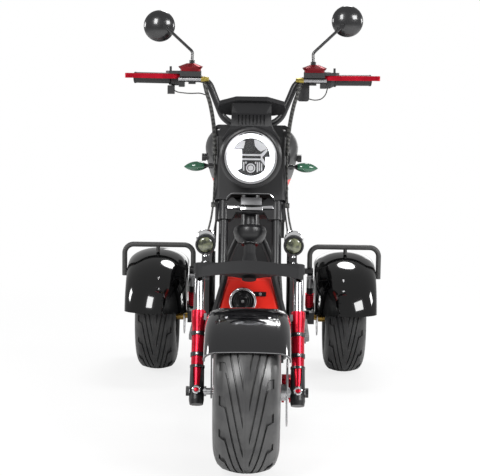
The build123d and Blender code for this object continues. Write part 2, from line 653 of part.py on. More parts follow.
def signal(root, tip, thick):
    """Leaf-shaped turn signal: round root, fullest at a third, pointed tip."""
    span = (tip - root).length
    plane = Plane(origin=root, x_dir=tip - root, z_dir=(0, -1, 0))
    with BuildPart() as part:
        with BuildSketch(plane):
            with BuildLine():
                ThreePointArc((0, 5), (0.36 * span, thick / 2), (span, 1))
                Polyline((span, 1), (span, 0), (0, 0), (0, 5))
            make_face()
        revolve(axis=Axis(root, tip - root))
    return part.part


with BuildPart() as rear_signals:
    for side in (-1, 1):
        add(signal(Vector(side * REAR_SIGNAL_NEAR, REAR_SIGNAL_Y, REAR_SIGNAL_Z),
                   Vector(side * REAR_SIGNAL_FAR, REAR_SIGNAL_Y, REAR_SIGNAL_Z - 3), 27))
rear_signals.part.label = "rear_signals"
export_step(rear_signals.part, "parts/rear_signals.step")

# ---------------------------------------------------------------- fork
GRIP_R, BAR_R = 17, 11
FOOT_LOW, FOOT_TOP, SLEEVE_TOP, RED_TOP = 207, 322, 489, 492
BAND_UPS = (421, 357)

with BuildPart() as fork_stanchions:
    for side in (-1, 1):
        with BuildSketch(fork_plane(side * FORK_X, -FORK_OFFSET, RED_TOP)):
            Circle(STANCHION_R)
        extrude(amount=CROWN_TOP - RED_TOP)
fork_stanchions.part.label = "fork_stanchions"
export_step(fork_stanchions.part, "parts/fork_stanchions.step")

with BuildPart() as fork_legs:
    for side in (-1, 1):
        with BuildSketch(fork_plane(side * FORK_X, -FORK_OFFSET, FOOT_TOP)):
            Circle(LEG_R)
        extrude(amount=RED_TOP - FOOT_TOP)
        with BuildSketch(fork_plane(side * FORK_X, -FORK_OFFSET, 262)):
            Circle(17)
        extrude(amount=FOOT_TOP - 262)
        with BuildSketch(fork_plane(side * FORK_X, -FORK_OFFSET, RED_TOP - 52)):
            Circle(LEG_R)
        with BuildSketch(fork_plane(side * FORK_X, -FORK_OFFSET, RED_TOP - 22)):
            Circle(LEG_R + 2.5)
        loft()
        with BuildSketch(fork_plane(side * FORK_X, -FORK_OFFSET, RED_TOP - 22)):
            Circle(LEG_R + 2.5)
        extrude(amount=22)
fork_legs.part.label = "fork_legs"
export_step(fork_legs.part, "parts/fork_legs.step")

# Cast feet with an open slot over the red leg, a cap bolt in front and two leg bands.
with BuildPart() as fork_feet:
    for side in (-1, 1):
        with BuildSketch(fork_plane(side * FORK_X, -FORK_OFFSET, FOOT_LOW)):
            Circle(20)
        with BuildSketch(fork_plane(side * FORK_X, -FORK_OFFSET, FOOT_LOW + 14)):
            Circle(22.5)
        loft()
        with BuildSketch(fork_plane(side * FORK_X, -FORK_OFFSET, FOOT_LOW + 14)):
            Circle(22.5)
        with BuildSketch(fork_plane(side * FORK_X, -FORK_OFFSET, FOOT_TOP)):
            Circle(21)
        loft()
        with BuildSketch(fork_plane(side * FORK_X, -FORK_OFFSET, 262)):
            Circle(17)
        extrude(amount=80, mode=Mode.SUBTRACT)
        with BuildSketch(Plane(origin=place(side * FORK_X, -FORK_OFFSET - 4, 0), x_dir=(1, 0, 0),
                               z_dir=place(0, -1, 0) - FORK.origin)):
            with BuildLine():
                Polyline((-8.5, 262), (8.5, 262), (13, FOOT_TOP + 1), (-13, FOOT_TOP + 1), close=True)
            make_face()
        extrude(amount=30, mode=Mode.SUBTRACT)
        for up in BAND_UPS:
            with BuildSketch(fork_plane(side * FORK_X, -FORK_OFFSET, up - 6)):
                Circle(LEG_R + 2.5)
                Circle(LEG_R, mode=Mode.SUBTRACT)
            extrude(amount=12)
        with BuildSketch(Plane(origin=place(side * FORK_X, -FORK_OFFSET - 20, AXLE_UP - 1), x_dir=(1, 0, 0),
                               z_dir=place(0, -1, 0) - FORK.origin)):
            Circle(12)
        extrude(amount=7.4)
    with Locations(Location(FRONT_AXLE, (0, 90, 0))):
        Cylinder(AXLE_R, 400, mode=Mode.SUBTRACT)
fork_feet.part.label = "fork_feet"
export_step(fork_feet.part, "parts/fork_feet.step")

AXLE_END = FORK_X + 27
with BuildPart() as front_axle:
    with Locations(Location(FRONT_AXLE, (0, 90, 0))):
        Cylinder(AXLE_R, 2 * AXLE_END)
        Cylinder(15, 2 * (FORK_X - 22.4))
        Cylinder(20, 2 * (FRONT_DISC_X + DISC_THICK / 2 + 1), mode=Mode.SUBTRACT)
        Cylinder(AXLE_R, 2 * AXLE_END)
    for side in (-1, 1):
        with BuildSketch(across(side * (FORK_X + 22.6), FRONT_Y, FRONT_RADIUS)):
            RegularPolygon(15, 6)
        extrude(amount=side * 9)
front_axle.part.label = "front_axle"
export_step(front_axle.part, "parts/front_axle.step")

# Crown: a beam with a boss round each leg, a deeper boss under the stem and a flared stem foot.
CROWN_BACK = -20                    # rear edge of the beam, in fork directions
with BuildPart() as fork_crown:
    with BuildSketch(fork_plane(0, 0, CROWN_LOW)):
        with BuildLine():
            Polyline((-FORK_X, -FORK_OFFSET - 19), (FORK_X, -FORK_OFFSET - 19), (FORK_X, CROWN_BACK - 1),
                     (STRUT_X, CROWN_BACK), (26, 10), (-26, 10), (-STRUT_X, CROWN_BACK),
                     (-FORK_X, CROWN_BACK - 1), close=True)
        make_face()
        for side in (-1, 1):
            with Locations((side * FORK_X, -FORK_OFFSET)):
                Circle(19)
        Circle(26)
    extrude(amount=CROWN_TOP - CROWN_LOW)
    with BuildSketch(fork_plane(0, 0, CROWN_LOW - 8)):
        Circle(22)
    extrude(amount=10)
    for side in (-1, 1):
        with BuildSketch(fork_plane(side * FORK_X, -FORK_OFFSET, CROWN_LOW)):
            Circle(STANCHION_R)
        extrude(amount=CROWN_TOP - CROWN_LOW, mode=Mode.SUBTRACT)
    with BuildSketch(fork_plane(0, 0, CROWN_TOP)):
        Circle(28)
    with BuildSketch(fork_plane(0, 0, CROWN_TOP + 46)):
        Circle(18.4)
    loft()
    with BuildSketch(fork_plane(0, 0, CROWN_TOP + 46)):
        Circle(18.4)
    extrude(amount=BOWL_LOW - 5 - CROWN_TOP - 46)
    with BuildSketch(fork_plane(0, 0, BOWL_LOW - 6)):
        Circle(STEM_R)
    extrude(amount=TOP_YOKE_LOW - BOWL_LOW + 6)
fork_crown.part.label = "fork_crown"
export_step(fork_crown.part, "parts/fork_crown.step")

# Plain curved cover plate in front of the crown.
COVER_HALF, COVER_EDGE = 163, 148
with BuildPart() as crown_cover:
    with BuildSketch(fork_plane(0, 0, 540)):
        with BuildLine() as bow:
            ThreePointArc((-COVER_HALF, -60), (-COVER_HALF + 6, -68), (-COVER_HALF + 20, -72))
            ThreePointArc((-COVER_HALF + 20, -72), (0, -84), (COVER_HALF - 20, -72))
            ThreePointArc((COVER_HALF - 20, -72), (COVER_HALF - 6, -68), (COVER_HALF, -60))
            offset(amount=4, side=Side.RIGHT)
        make_face()
    extrude(amount=160)
    with BuildSketch(Plane(origin=place(0, 0, 0), x_dir=(1, 0, 0), z_dir=place(0, -1, 0) - FORK.origin)):
        with BuildLine():
            ThreePointArc((-COVER_EDGE, 620), (0, 639), (COVER_EDGE, 620))
            ThreePointArc((COVER_EDGE, 620), (COVER_HALF - 4, 613), (COVER_HALF, 602))
            Line((COVER_HALF, 602), (COVER_HALF, 586))
            ThreePointArc((COVER_HALF, 586), (0, 599), (-COVER_HALF, 586))
            Line((-COVER_HALF, 586), (-COVER_HALF, 602))
            ThreePointArc((-COVER_HALF, 602), (4 - COVER_HALF, 613), (-COVER_EDGE, 620))
        make_face()
    extrude(amount=120, mode=Mode.INTERSECT)
crown_cover.part.label = "crown_cover"
export_step(crown_cover.part, "parts/crown_cover.step")

# Lower yoke: a clamped beam in front of the head tube. Top yoke: a plate with an ear and its
# hole at each end, and the handlebar risers. The inner struts join both to the crown.
BAR_BACK, BAR_UP = 12, 1119
EAR_UP = 1068                       # middle of the ears
with BuildPart() as yokes:
    with BuildSketch(fork_plane(0, 0, LOWER_YOKE_LOW)):
        with Locations((0, -48)):
            Rectangle(150, 22)
        for side in (-1, 1):
            with Locations((side * STRUT_X, -FORK_OFFSET)):
                Circle(21)
                with Locations((side * 18, 0)):
                    Rectangle(16, 14)
    extrude(amount=LOWER_YOKE_TOP - LOWER_YOKE_LOW)
    with BuildSketch(Plane(origin=place(0, 0, 0), x_dir=(1, 0, 0), z_dir=place(0, -1, 0) - FORK.origin)):
        with BuildLine():
            Polyline((-56, LOWER_YOKE_LOW), (-44, LOWER_YOKE_LOW + 22), (44, LOWER_YOKE_LOW + 22),
                     (56, LOWER_YOKE_LOW), close=True)
        make_face()
        with BuildLine():
            Polyline((-52, LOWER_YOKE_TOP), (-36, LOWER_YOKE_TOP - 14), (36, LOWER_YOKE_TOP - 14),
                     (52, LOWER_YOKE_TOP), close=True)
        make_face()
    extrude(amount=90, mode=Mode.SUBTRACT)
    with BuildSketch(fork_plane(0, 0, TOP_YOKE_LOW)):
        with BuildLine():
            Polyline((-98, -FORK_OFFSET - 14), (-60, -56), (60, -56), (98, -FORK_OFFSET - 14),
                     (98, -FORK_OFFSET + 12), (34, 30), (-34, 30), (-98, -FORK_OFFSET + 12), close=True)
        make_face()
    extrude(amount=TOP_YOKE_TOP - TOP_YOKE_LOW)
    with BuildSketch(Plane(origin=place(0, -50, 0), x_dir=(1, 0, 0), z_dir=place(0, -1, 0) - FORK.origin)):
        for side in (-1, 1):                   # upright ears with a hole near the outer end
            with Locations((side * 88, EAR_UP)):
                RectangleRounded(52, 40, 13)
            with Locations((side * 102, EAR_UP + 4)):
                Circle(4.5, mode=Mode.SUBTRACT)
    extrude(amount=10)
    with BuildSketch(fork_plane(0, 0, CROWN_TOP)):
        with Locations((-STRUT_X, -FORK_OFFSET), (STRUT_X, -FORK_OFFSET)):
            Circle(STRUT_R)
    extrude(amount=TOP_YOKE_TOP - CROWN_TOP)
    with BuildSketch(fork_plane(0, 0, TOP_YOKE_TOP)):
        with Locations((-34, BAR_BACK), (34, BAR_BACK)):
            Rectangle(22, 34)
    extrude(amount=BAR_UP + 16 - TOP_YOKE_TOP)
    with BuildSketch(across(0, 0, 0)):
        with Locations(Vector(place(0, BAR_BACK, BAR_UP).Y, place(0, BAR_BACK, BAR_UP).Z)):
            Circle(BAR_R + 0.2)
    extrude(amount=60, both=True, mode=Mode.SUBTRACT)
yokes.part.label = "yokes"
export_step(yokes.part, "parts/yokes.step")

# ---------------------------------------------------------------- handlebar and what it carries
BAR_MID = place(0, BAR_BACK, BAR_UP)
BAR_END = Vector(371, -225, 1140.5)
BAR_RISE = Vector(141, -272, 1140.5)
BAR_FOOT = Vector(84, BAR_MID.Y, BAR_MID.Z)
with BuildPart() as handlebar:
    add(tube([(-BAR_END.X, BAR_END.Y, BAR_END.Z), (-BAR_RISE.X, BAR_RISE.Y, BAR_RISE.Z),
              (-BAR_FOOT.X, BAR_FOOT.Y, BAR_FOOT.Z), tuple(BAR_FOOT), tuple(BAR_RISE),
              tuple(BAR_END)], BAR_R, [44, 60, 60, 44]))
handlebar.part.label = "handlebar"
export_step(handlebar.part, "parts/handlebar.step")


def along(start, end):
    """A plane at the start point that faces the end point."""
    return Plane(origin=start, z_dir=end - start)


def mirrored(side, point):
    return Vector(side * point.X, point.Y, point.Z)


GRIP_LENGTH = 116
with BuildPart() as grips:
    for side in (-1, 1):
        end, rise = mirrored(side, BAR_END), mirrored(side, BAR_RISE)
        inner = end + (rise - end).normalized() * GRIP_LENGTH
        with BuildSketch(along(inner, end)):
            Circle(GRIP_R)
            Circle(BAR_R, mode=Mode.SUBTRACT)
        extrude(amount=GRIP_LENGTH)
        with BuildSketch(along(end, end + (end - rise))):
            Circle(GRIP_R + 1)
        extrude(amount=4)
        with BuildSketch(along(inner, end)):
            Circle(GRIP_R + 4)
            Circle(BAR_R, mode=Mode.SUBTRACT)
        extrude(amount=5)
grips.part.label = "grips"
export_step(grips.part, "parts/grips.step")

# Brake levers: flat blades ahead of the grips, each with a round holed tip.
LEVER_Z, LEVER_THICK = 1149.5, 15
LEVER_FRONT = ((226, -292), (250, -300), (282, -302), (330, -293), (372, -289), (394, -290))
LEVER_BACK = ((394, -278), (372, -280), (330, -282), (284, -289), (252, -285), (226, -277))
with BuildPart() as levers:
    for side in (-1, 1):
        with BuildSketch(Plane.XY.offset(LEVER_Z - LEVER_THICK / 2)):
            with BuildLine():
                Polyline([(side * x, y) for x, y in LEVER_FRONT + LEVER_BACK], close=True)
            make_face()
            with Locations((side * 393, -284)):
                Circle(8)
                Circle(3.2, mode=Mode.SUBTRACT)
        extrude(amount=LEVER_THICK)
levers.part.label = "levers"
export_step(levers.part, "parts/levers.step")

# Controls on the bar. On each side a reservoir body with an arm out to the lever's pivot, and a
# bar clamp. Right: switch housing with a trigger pod. Left: round grip housing and a box under it.
RESERVOIR_X, RESERVOIR_Y, RESERVOIR_LOW, RESERVOIR_TOP = 194, -294, 1149, 1166
with BuildPart() as controls:
    for side in (-1, 1):
        with Locations((side * RESERVOIR_X, RESERVOIR_Y, (RESERVOIR_LOW + RESERVOIR_TOP) / 2)):
            Box(66, 34, RESERVOIR_TOP - RESERVOIR_LOW)
        with BuildSketch(Plane.XY.offset(LEVER_Z + LEVER_THICK / 2 + 0.5)):
            with BuildLine():
                Polyline([(side * x, y) for x, y in ((205, -308), (262, -303), (272, -293), (262, -281),
                                                     (205, -279))], close=True)
            make_face()
        extrude(amount=RESERVOIR_TOP - LEVER_Z - LEVER_THICK / 2 - 0.5)
        with BuildSketch(Plane.XY.offset(RESERVOIR_TOP)):
            with Locations((side * 257, -292)):
                Circle(3.6)
        extrude(amount=14)
        with Locations((side * 222, -281, 1128)):
            Box(18, 34, 24)
        with Locations((side * 190, -276, 1141)):
            Box(22, 36, 32)
    end, rise = mirrored(-1, BAR_END), mirrored(-1, BAR_RISE)
    inner = end + (rise - end).normalized() * (GRIP_LENGTH + 38)
    with BuildSketch(along(inner, end)):
        RectangleRounded(42, 44, 12)
    extrude(amount=34)
    with Locations((-257, -256, 1105)):
        Box(22, 30, 26)
    end, rise = BAR_END, BAR_RISE
    inner = end + (rise - end).normalized() * (GRIP_LENGTH + 38)
    with BuildSketch(along(inner, end)):
        Circle(22)
    extrude(amount=8)
    with BuildSketch(along(inner + (end - inner).normalized() * 8, end)):
        Circle(26)
    extrude(amount=16)
    with BuildSketch(along(inner + (end - inner).normalized() * 24, end)):
        Circle(26)
    with BuildSketch(along(inner + (end - inner).normalized() * 37.5, end)):
        Circle(20)
    loft()
    with BuildSketch(facing(161, -242, 1108)):
        RectangleRounded(38, 68, 9)
    extrude(amount=30)
    add(handlebar.part, mode=Mode.SUBTRACT)
    add(levers.part, mode=Mode.SUBTRACT)
controls.part.label = "controls"
export_step(controls.part, "parts/controls.step")

# Master cylinder barrels under the reservoirs, each with the banjo and cap of its hose inboard.
BARREL_Z, BARREL_Y = 1141, -302
with BuildPart() as brake_fittings:
    for side in (-1, 1):
        for near, far, radius in ((160, 232, 6.5), (144, 161, 8.5), (136, 144, 7)):
            with BuildSketch(across(side * near, BARREL_Y, BARREL_Z)):
                Circle(radius)
            extrude(amount=side * (far - near))
    add(controls.part, mode=Mode.SUBTRACT)
    add(levers.part, mode=Mode.SUBTRACT)
brake_fittings.part.label = "brake_fittings"
export_step(brake_fittings.part, "parts/brake_fittings.step")

# Red reservoir caps: lens-shaped, peaked at the mirror stem, on a pale collar.
CAP_W, CAP_D, CAP_EDGE_Z, CAP_TOP_Z, COLLAR_H = 77, 46, 1180, 1190, 7.5
with BuildPart() as reservoir_caps:
    for side in (-1, 1):
        middle = (side * RESERVOIR_X, RESERVOIR_Y)
        with BuildSketch(Plane.XY.offset(RESERVOIR_TOP)):
            with Locations(middle):
                RectangleRounded(CAP_W - 13, CAP_D - 8, 12)
        extrude(amount=COLLAR_H)
        with BuildSketch(Plane.XY.offset(RESERVOIR_TOP + COLLAR_H)):
            with Locations(middle):
                RectangleRounded(CAP_W - 9, CAP_D - 6, 12)
        with BuildSketch(Plane.XY.offset(CAP_EDGE_Z)):
            with Locations(middle):
                RectangleRounded(CAP_W, CAP_D, 14)
        loft()
        with BuildSketch(Plane.XY.offset(CAP_EDGE_Z)):
            with Locations(middle):
                RectangleRounded(CAP_W, CAP_D, 14)
        with BuildSketch(Plane.XY.offset(CAP_TOP_Z)):
            with Locations(middle):
                RectangleRounded(26, 20, 8)
        loft()
reservoir_caps.part.label = "reservoir_caps"
export_step(reservoir_caps.part, "parts/reservoir_caps.step")

# Mirrors: thin bent stem with a cone foot, round domed shell, its glass toward the rider.
# The two heads are set to their own heights.
MIRROR_R = 49.5
MIRRORS = {-1: Vector(-296, -246, 1304), 1: Vector(296, -246, 1326)}
STEM_TIPS = {-1: Vector(-276, -276, 1304), 1: Vector(278, -276, 1310)}
STEM_FOOT = Vector(190, RESERVOIR_Y, CAP_TOP_Z)
STEM_BEND = Vector(189, RESERVOIR_Y + 8, 1226)
with BuildPart() as mirrors:
    for side in (-1, 1):
        with BuildPart():
            add(tube([mirrored(side, STEM_FOOT) + Vector(0, 0, 4), mirrored(side, STEM_BEND), STEM_TIPS[side]],
                     4.7, [16]))
            with Locations(mirrored(side, STEM_FOOT) + Vector(0, 0, 5)):
                Cylinder(8.5, 10)
            with Locations(Plane(origin=STEM_TIPS[side], x_dir=(1, 0, 0), z_dir=(0, 1, 0))):
                Cylinder(7.5, 24)
        centre = MIRRORS[side]
        with BuildPart():
            with BuildSketch(lying(*centre)):
                with BuildLine():
                    Polyline((0, 28), (0, 2), (MIRROR_R - 3, 2), (MIRROR_R - 3, -3), (MIRROR_R, -3), (MIRROR_R, 4))
                    Bezier((MIRROR_R, 4), (0.92 * MIRROR_R, 16), (0.5 * MIRROR_R, 28), (0, 28))
                make_face()
            revolve(axis=Axis(centre, (0, -1, 0)))
mirrors.part.label = "mirrors"
export_step(mirrors.part, "parts/mirrors.step")
with BuildPart() as mirror_glass:
    for side in (-1, 1):
        centre = MIRRORS[side]
        with BuildSketch(facing(centre.X, centre.Y - 2, centre.Z)):
            Circle(MIRROR_R - 3.2)
        extrude(amount=-4)
mirror_glass.part.label = "mirror_glass"
export_step(mirror_glass.part, "parts/mirror_glass.step")

# ---------------------------------------------------------------- headlight
LAMP_MID_Z, LAMP_FRONT_Y = 920, -545
BEZEL_R, RING_R, DRL_OUT, DRL_IN, REFLECTOR_R = 94, 78, 72.5, 57.5, 57
SHROUD_FRONT = -66                  # front face of the fork shroud, in fork directions
LIGHT = (0, LAMP_FRONT_Y, LAMP_MID_Z)
LIGHT_AXIS = Axis(LIGHT, (0, -1, 0))
AHEAD = place(0, -1, 0) - FORK.origin
SHROUD_FACE = Plane(origin=place(0, SHROUD_FRONT, 0), x_dir=(1, 0, 0), z_dir=AHEAD)


def turned(profile, middle=LIGHT):
    """A body of revolution about a lamp's own axis, from pairs of radius and reach."""
    with BuildPart() as part:
        with BuildSketch(lying(*middle)):
            with BuildLine():
                Polyline(*profile, close=True)
            make_face()
        revolve(axis=Axis(middle, (0, -1, 0)))
    return part.part


with BuildPart() as headlight_bowl:
    add(turned([(0, -24), (RING_R, -24), (RING_R + 2, 0), (RING_R + 5, 3), (BEZEL_R - 6, 1), (BEZEL_R, -7),
                (BEZEL_R, -22), (BEZEL_R - 9, -52), (58, -90), (50, -200), (0, -200)]))
    split(bisect_by=SHROUD_FACE, keep=Keep.TOP)
headlight_bowl.part.label = "headlight_bowl"
export_step(headlight_bowl.part, "parts/headlight_bowl.step")

with BuildPart() as headlight_ring:
    add(turned([(DRL_OUT, -23.9), (RING_R - 0.1, -23.9), (RING_R + 1.8, 0), (RING_R + 1, 4), (RING_R - 1, 4),
                (DRL_OUT, 0)]))
headlight_ring.part.label = "headlight_ring"
export_step(headlight_ring.part, "parts/headlight_ring.step")

# Daylight ring with a block of light inside it on the right and a smaller one low on the left.
with BuildPart() as headlight_drl:
    add(turned([(DRL_IN, -20), (DRL_OUT - 0.2, -20), (DRL_OUT - 0.2, -6), (DRL_IN, -9)]))
    with BuildSketch(facing(0, LAMP_FRONT_Y + 20, LAMP_MID_Z)):
        Circle(DRL_IN + 1)
        with BuildLine():
            Polyline((-80, 22), (-27, 22), (-27, -33), (-44, -42), (-80, -42), close=True)
        make_face(mode=Mode.INTERSECT)
    extrude(amount=11)
    with BuildSketch(facing(0, LAMP_FRONT_Y + 20, LAMP_MID_Z)):
        Circle(DRL_IN + 1)
        with BuildLine():
            Polyline((80, 0), (44, 0), (46, -24), (42, -38), (46, -60), (80, -60), close=True)
        make_face(mode=Mode.INTERSECT)
    extrude(amount=11)
headlight_drl.part.label = "headlight_drl"
export_step(headlight_drl.part, "parts/headlight_drl.step")

# Reflector plate with what stands on it: twin cross bars that fork on the left, two mirror wedges
# above them, and below them a projector between upright fins.
with BuildPart() as headlight_core:
    with BuildSketch(facing(0, LAMP_FRONT_Y + 23.9, LAMP_MID_Z)):
        Circle(REFLECTOR_R)
    extrude(amount=3.6)
    with BuildSketch(facing(0, LAMP_FRONT_Y + 21, LAMP_MID_Z)):
        with Locations((2, 6.5), (2, -6.5)):
            Rectangle(60, 5)
        with BuildLine():
            Polyline((30, 9), (47, 25), (51, 20), (38, 4), (34, 1), (37, -4), (47, -21), (43, -26), (30, -9),
                     close=True)
        make_face()
        with BuildLine():
            Polyline((-50, 24), (-22, 26), (-17, 48), (-27, 50), (-46, 32), close=True)
        make_face()
        with BuildLine():
            Polyline((9, 53), (16, 53), (42, 38), (50, 24), (44, 24), (30, 17), (22, 22), (12, 34), close=True)
        make_face()
    extrude(amount=7)
    with BuildSketch(facing(0, LAMP_FRONT_Y + 21, LAMP_MID_Z)):
        with Locations((0, -33)):
            Circle(14)
            Circle(10.5, mode=Mode.SUBTRACT)
            Circle(8)
        for x, z, high in ((-21, -28, 26), (-14.5, -17, 6), (14.5, -17, 6), (20, -30, 30), (26, -28, 26),
                           (33, -30, 22)):
            with Locations((x, z)):
                Rectangle(3.6, high)
    extrude(amount=7)
    add(headlight_drl.part, mode=Mode.SUBTRACT)
headlight_core.part.label = "headlight_core"
export_step(headlight_core.part, "parts/headlight_core.step")

# ---------------------------------------------------------------- auxiliary lamps
AUX_X, AUX_Y, AUX_Z, AUX_R, AUX_LENS_R = 134, -530, 651, 31, 24
HOUSING_R, HOUSING_RISE = 29, 16    # bright housing behind the ring, set higher
with BuildPart() as aux_lamps:
    for side in (-1, 1):
        add(turned([(0, -6), (AUX_LENS_R, -6), (AUX_LENS_R + 1, 1), (AUX_R - 2, 1), (AUX_R, -2), (AUX_R, -12),
                    (AUX_R - 3, -15), (AUX_R - 3, -24), (0, -24)], (side * AUX_X, AUX_Y, AUX_Z)))
        add(turned([(0, -14), (HOUSING_R - 3, -14), (HOUSING_R, -18), (HOUSING_R, -22), (HOUSING_R - 4, -24),
                    (HOUSING_R - 4, -27), (HOUSING_R, -29), (HOUSING_R, -32), (HOUSING_R - 5, -34),
                    (HOUSING_R - 5, -37), (HOUSING_R - 1, -39), (HOUSING_R - 6, -48), (12, -56), (0, -57)],
                   (side * AUX_X, AUX_Y, AUX_Z + HOUSING_RISE)))
        with BuildSketch(fork_plane(side * AUX_X, -FORK_OFFSET, CROWN_TOP)):
            Circle(8)
        extrude(amount=34)
        with BuildSketch(fork_plane(side * AUX_X, -FORK_OFFSET, CROWN_TOP)):
            RegularPolygon(13, 6)
        extrude(amount=8)
        with BuildSketch(fork_plane(side * AUX_X, -FORK_OFFSET, CROWN_TOP + 8)):
            Rectangle(20, 16)
        extrude(amount=22)
aux_lamps.part.label = "aux_lamps"
export_step(aux_lamps.part, "parts/aux_lamps.step")

# Clear lenses of the headlight and of both auxiliary lamps.
with BuildPart() as lamp_lenses:
    with BuildSketch(facing(0, LAMP_FRONT_Y - 0.5, LAMP_MID_Z)):
        Circle(DRL_OUT - 0.5)
    extrude(amount=-3)
    for side in (-1, 1):
        with BuildSketch(facing(side * AUX_X, AUX_Y + 5.9, AUX_Z)):
            Circle(AUX_LENS_R - 1)
        extrude(amount=4)
lamp_lenses.part.label = "lamp_lenses"
export_step(lamp_lenses.part, "parts/lamp_lenses.step")

# ---------------------------------------------------------------- shroud, cowl and dash
SHROUD_HALF, SHROUD_LOW, SHROUD_TOP = 110, 841, 1048
with BuildPart() as fork_shroud:
    with BuildSketch(fork_plane(0, 0, SHROUD_LOW)):
        with BuildLine():
            FilletPolyline((-SHROUD_HALF, -14), (-SHROUD_HALF, SHROUD_FRONT), (SHROUD_HALF, SHROUD_FRONT),
                           (SHROUD_HALF, -14), radius=14)
            Polyline((SHROUD_HALF, -14), (SHROUD_HALF - 4, -14))
            FilletPolyline((SHROUD_HALF - 4, -14), (SHROUD_HALF - 4, SHROUD_FRONT + 5),
                           (4 - SHROUD_HALF, SHROUD_FRONT + 5), (4 - SHROUD_HALF, -14), radius=10)
            Polyline((4 - SHROUD_HALF, -14), (-SHROUD_HALF, -14))
        make_face()
    extrude(amount=SHROUD_TOP - SHROUD_LOW)
    with BuildSketch(Plane(origin=FORK.origin, x_dir=(1, 0, 0), z_dir=AHEAD)):
        with BuildLine():
            Polyline((-70, SHROUD_LOW), (-58, SHROUD_LOW + 16), (58, SHROUD_LOW + 16), (70, SHROUD_LOW),
                     close=True)
        make_face()
    extrude(amount=80, mode=Mode.SUBTRACT)
    with BuildSketch(across(0, 0, 0)):
        with BuildLine():
            Polyline((place(0, 0, SHROUD_TOP - 34).Y, place(0, 0, SHROUD_TOP - 34).Z),
                     (place(0, -90, SHROUD_TOP + 60).Y, place(0, -90, SHROUD_TOP + 60).Z),
                     (place(0, 60, SHROUD_TOP + 60).Y, place(0, 60, SHROUD_TOP + 60).Z), close=True)
        make_face()
    extrude(amount=150, both=True, mode=Mode.SUBTRACT)
    add(yokes.part, mode=Mode.SUBTRACT)
fork_shroud.part.label = "fork_shroud"
export_step(fork_shroud.part, "parts/fork_shroud.step")

# Cowl above the headlight: a smooth band with two corner facets, a ribbed slope, and a skirt that
# wraps the bezel. The dash tray on top of it has angled ends and a raised band round its underside.
COWL_HALF = 60.5
BAND_LOW_Z, SLOPE_TOP, SLOPE_FOOT = 1048, (-486, 1048), (-540, 1014)
RIB_PITCH, RIB_COUNT = 11, 8
with BuildPart() as cowl:
    with BuildSketch(across(0, 0, 0)):
        with BuildLine():
            Polyline((-430, 1070), (-458, 1088), SLOPE_TOP, SLOPE_FOOT, (-540, 1004), (-524, 958), (-470, 958),
                     (-430, 1000), close=True)
        make_face()
    extrude(amount=100, both=True)
    with BuildSketch(facing(0, -380, 0)):
        with BuildLine():
            Polyline((-COWL_HALF, 1100), (-COWL_HALF, 1026))
            ThreePointArc((-COWL_HALF, 1026), (-64, 1008), (-74, 992))
            Polyline((-74, 992), (-88, 970), (-80, 956), (80, 956), (88, 970), (74, 992))
            ThreePointArc((74, 992), (64, 1008), (COWL_HALF, 1026))
            Polyline((COWL_HALF, 1026), (COWL_HALF, 1100), (-COWL_HALF, 1100))
        make_face()
    extrude(amount=200, mode=Mode.INTERSECT)
    with BuildSketch(Plane.XY.offset(BAND_LOW_Z)):
        for side in (-1, 1):
            with BuildLine():
                Polyline((side * 45, -540), (side * 45, -484), (side * (COWL_HALF + 1), -462),
                         (side * (COWL_HALF + 1), -540), close=True)
            make_face()
    extrude(amount=60, mode=Mode.SUBTRACT)
    slope = Vector(0, *SLOPE_FOOT) - Vector(0, *SLOPE_TOP)
    with BuildSketch(Plane(origin=Vector(0, *SLOPE_TOP) + slope / 2, x_dir=(1, 0, 0),
                           z_dir=slope.cross(Vector(1, 0, 0)))):
        for rib in range(RIB_COUNT):
            x = (rib - (RIB_COUNT - 1) / 2) * RIB_PITCH
            with Locations((x, 0)):
                Rectangle(4.2, slope.length - 14)
    extrude(amount=-3.5, mode=Mode.SUBTRACT)
    with BuildSketch(facing(0, LAMP_FRONT_Y + 40, LAMP_MID_Z)):
        Circle(BEZEL_R)
    extrude(amount=60, mode=Mode.SUBTRACT)
    add(headlight_bowl.part, mode=Mode.SUBTRACT)
TRAY = Plane(origin=(0, -440, 1058), x_dir=(1, 0, 0), z_dir=(0, 0.62, 0.78))
with BuildPart() as tray:
    with BuildSketch(TRAY) as tray_outline:
        with BuildLine():
            Polyline((-66, 34), (-94, 26), (-104, -2), (-99, -22), (-47, -46), (47, -46), (99, -22), (104, -2),
                     (94, 26), (66, 34), close=True)
        make_face()
    extrude(amount=15)
    with BuildSketch(TRAY):
        offset(tray_outline.sketch, -11)
    extrude(amount=6, mode=Mode.SUBTRACT)
with BuildPart() as cowl_and_tray:
    add(cowl.part)
    add(tray.part)
cowl_and_tray.part.label = "cowl"
export_step(cowl_and_tray.part, "parts/cowl.step")

# ---------------------------------------------------------------- front signals
SIGNAL_Y, SIGNAL_Z = -420, 881
with BuildPart() as front_signals:
    for side in (-1, 1):
        add(signal(Vector(side * 135, SIGNAL_Y, SIGNAL_Z), Vector(side * 206, SIGNAL_Y, SIGNAL_Z - 4), 29))
        with BuildSketch(across(side * SHROUD_HALF, SIGNAL_Y, SIGNAL_Z)):
            Circle(5.5)
        extrude(amount=side * 30)
        with BuildSketch(across(side * (SHROUD_HALF + 8), SIGNAL_Y, SIGNAL_Z)):
            Circle(9)
        extrude(amount=side * 12)
front_signals.part.label = "front_signals"
export_step(front_signals.part, "parts/front_signals.step")

# ---------------------------------------------------------------- front fender
ARCH_HALF, ARCH_R, ARCH_SKIRT, ARCH_WALL = 125, 250, 192, 4
ARCH_FRONT, ARCH_REAR = 40, 25      # degrees of the two edges above the axle's level


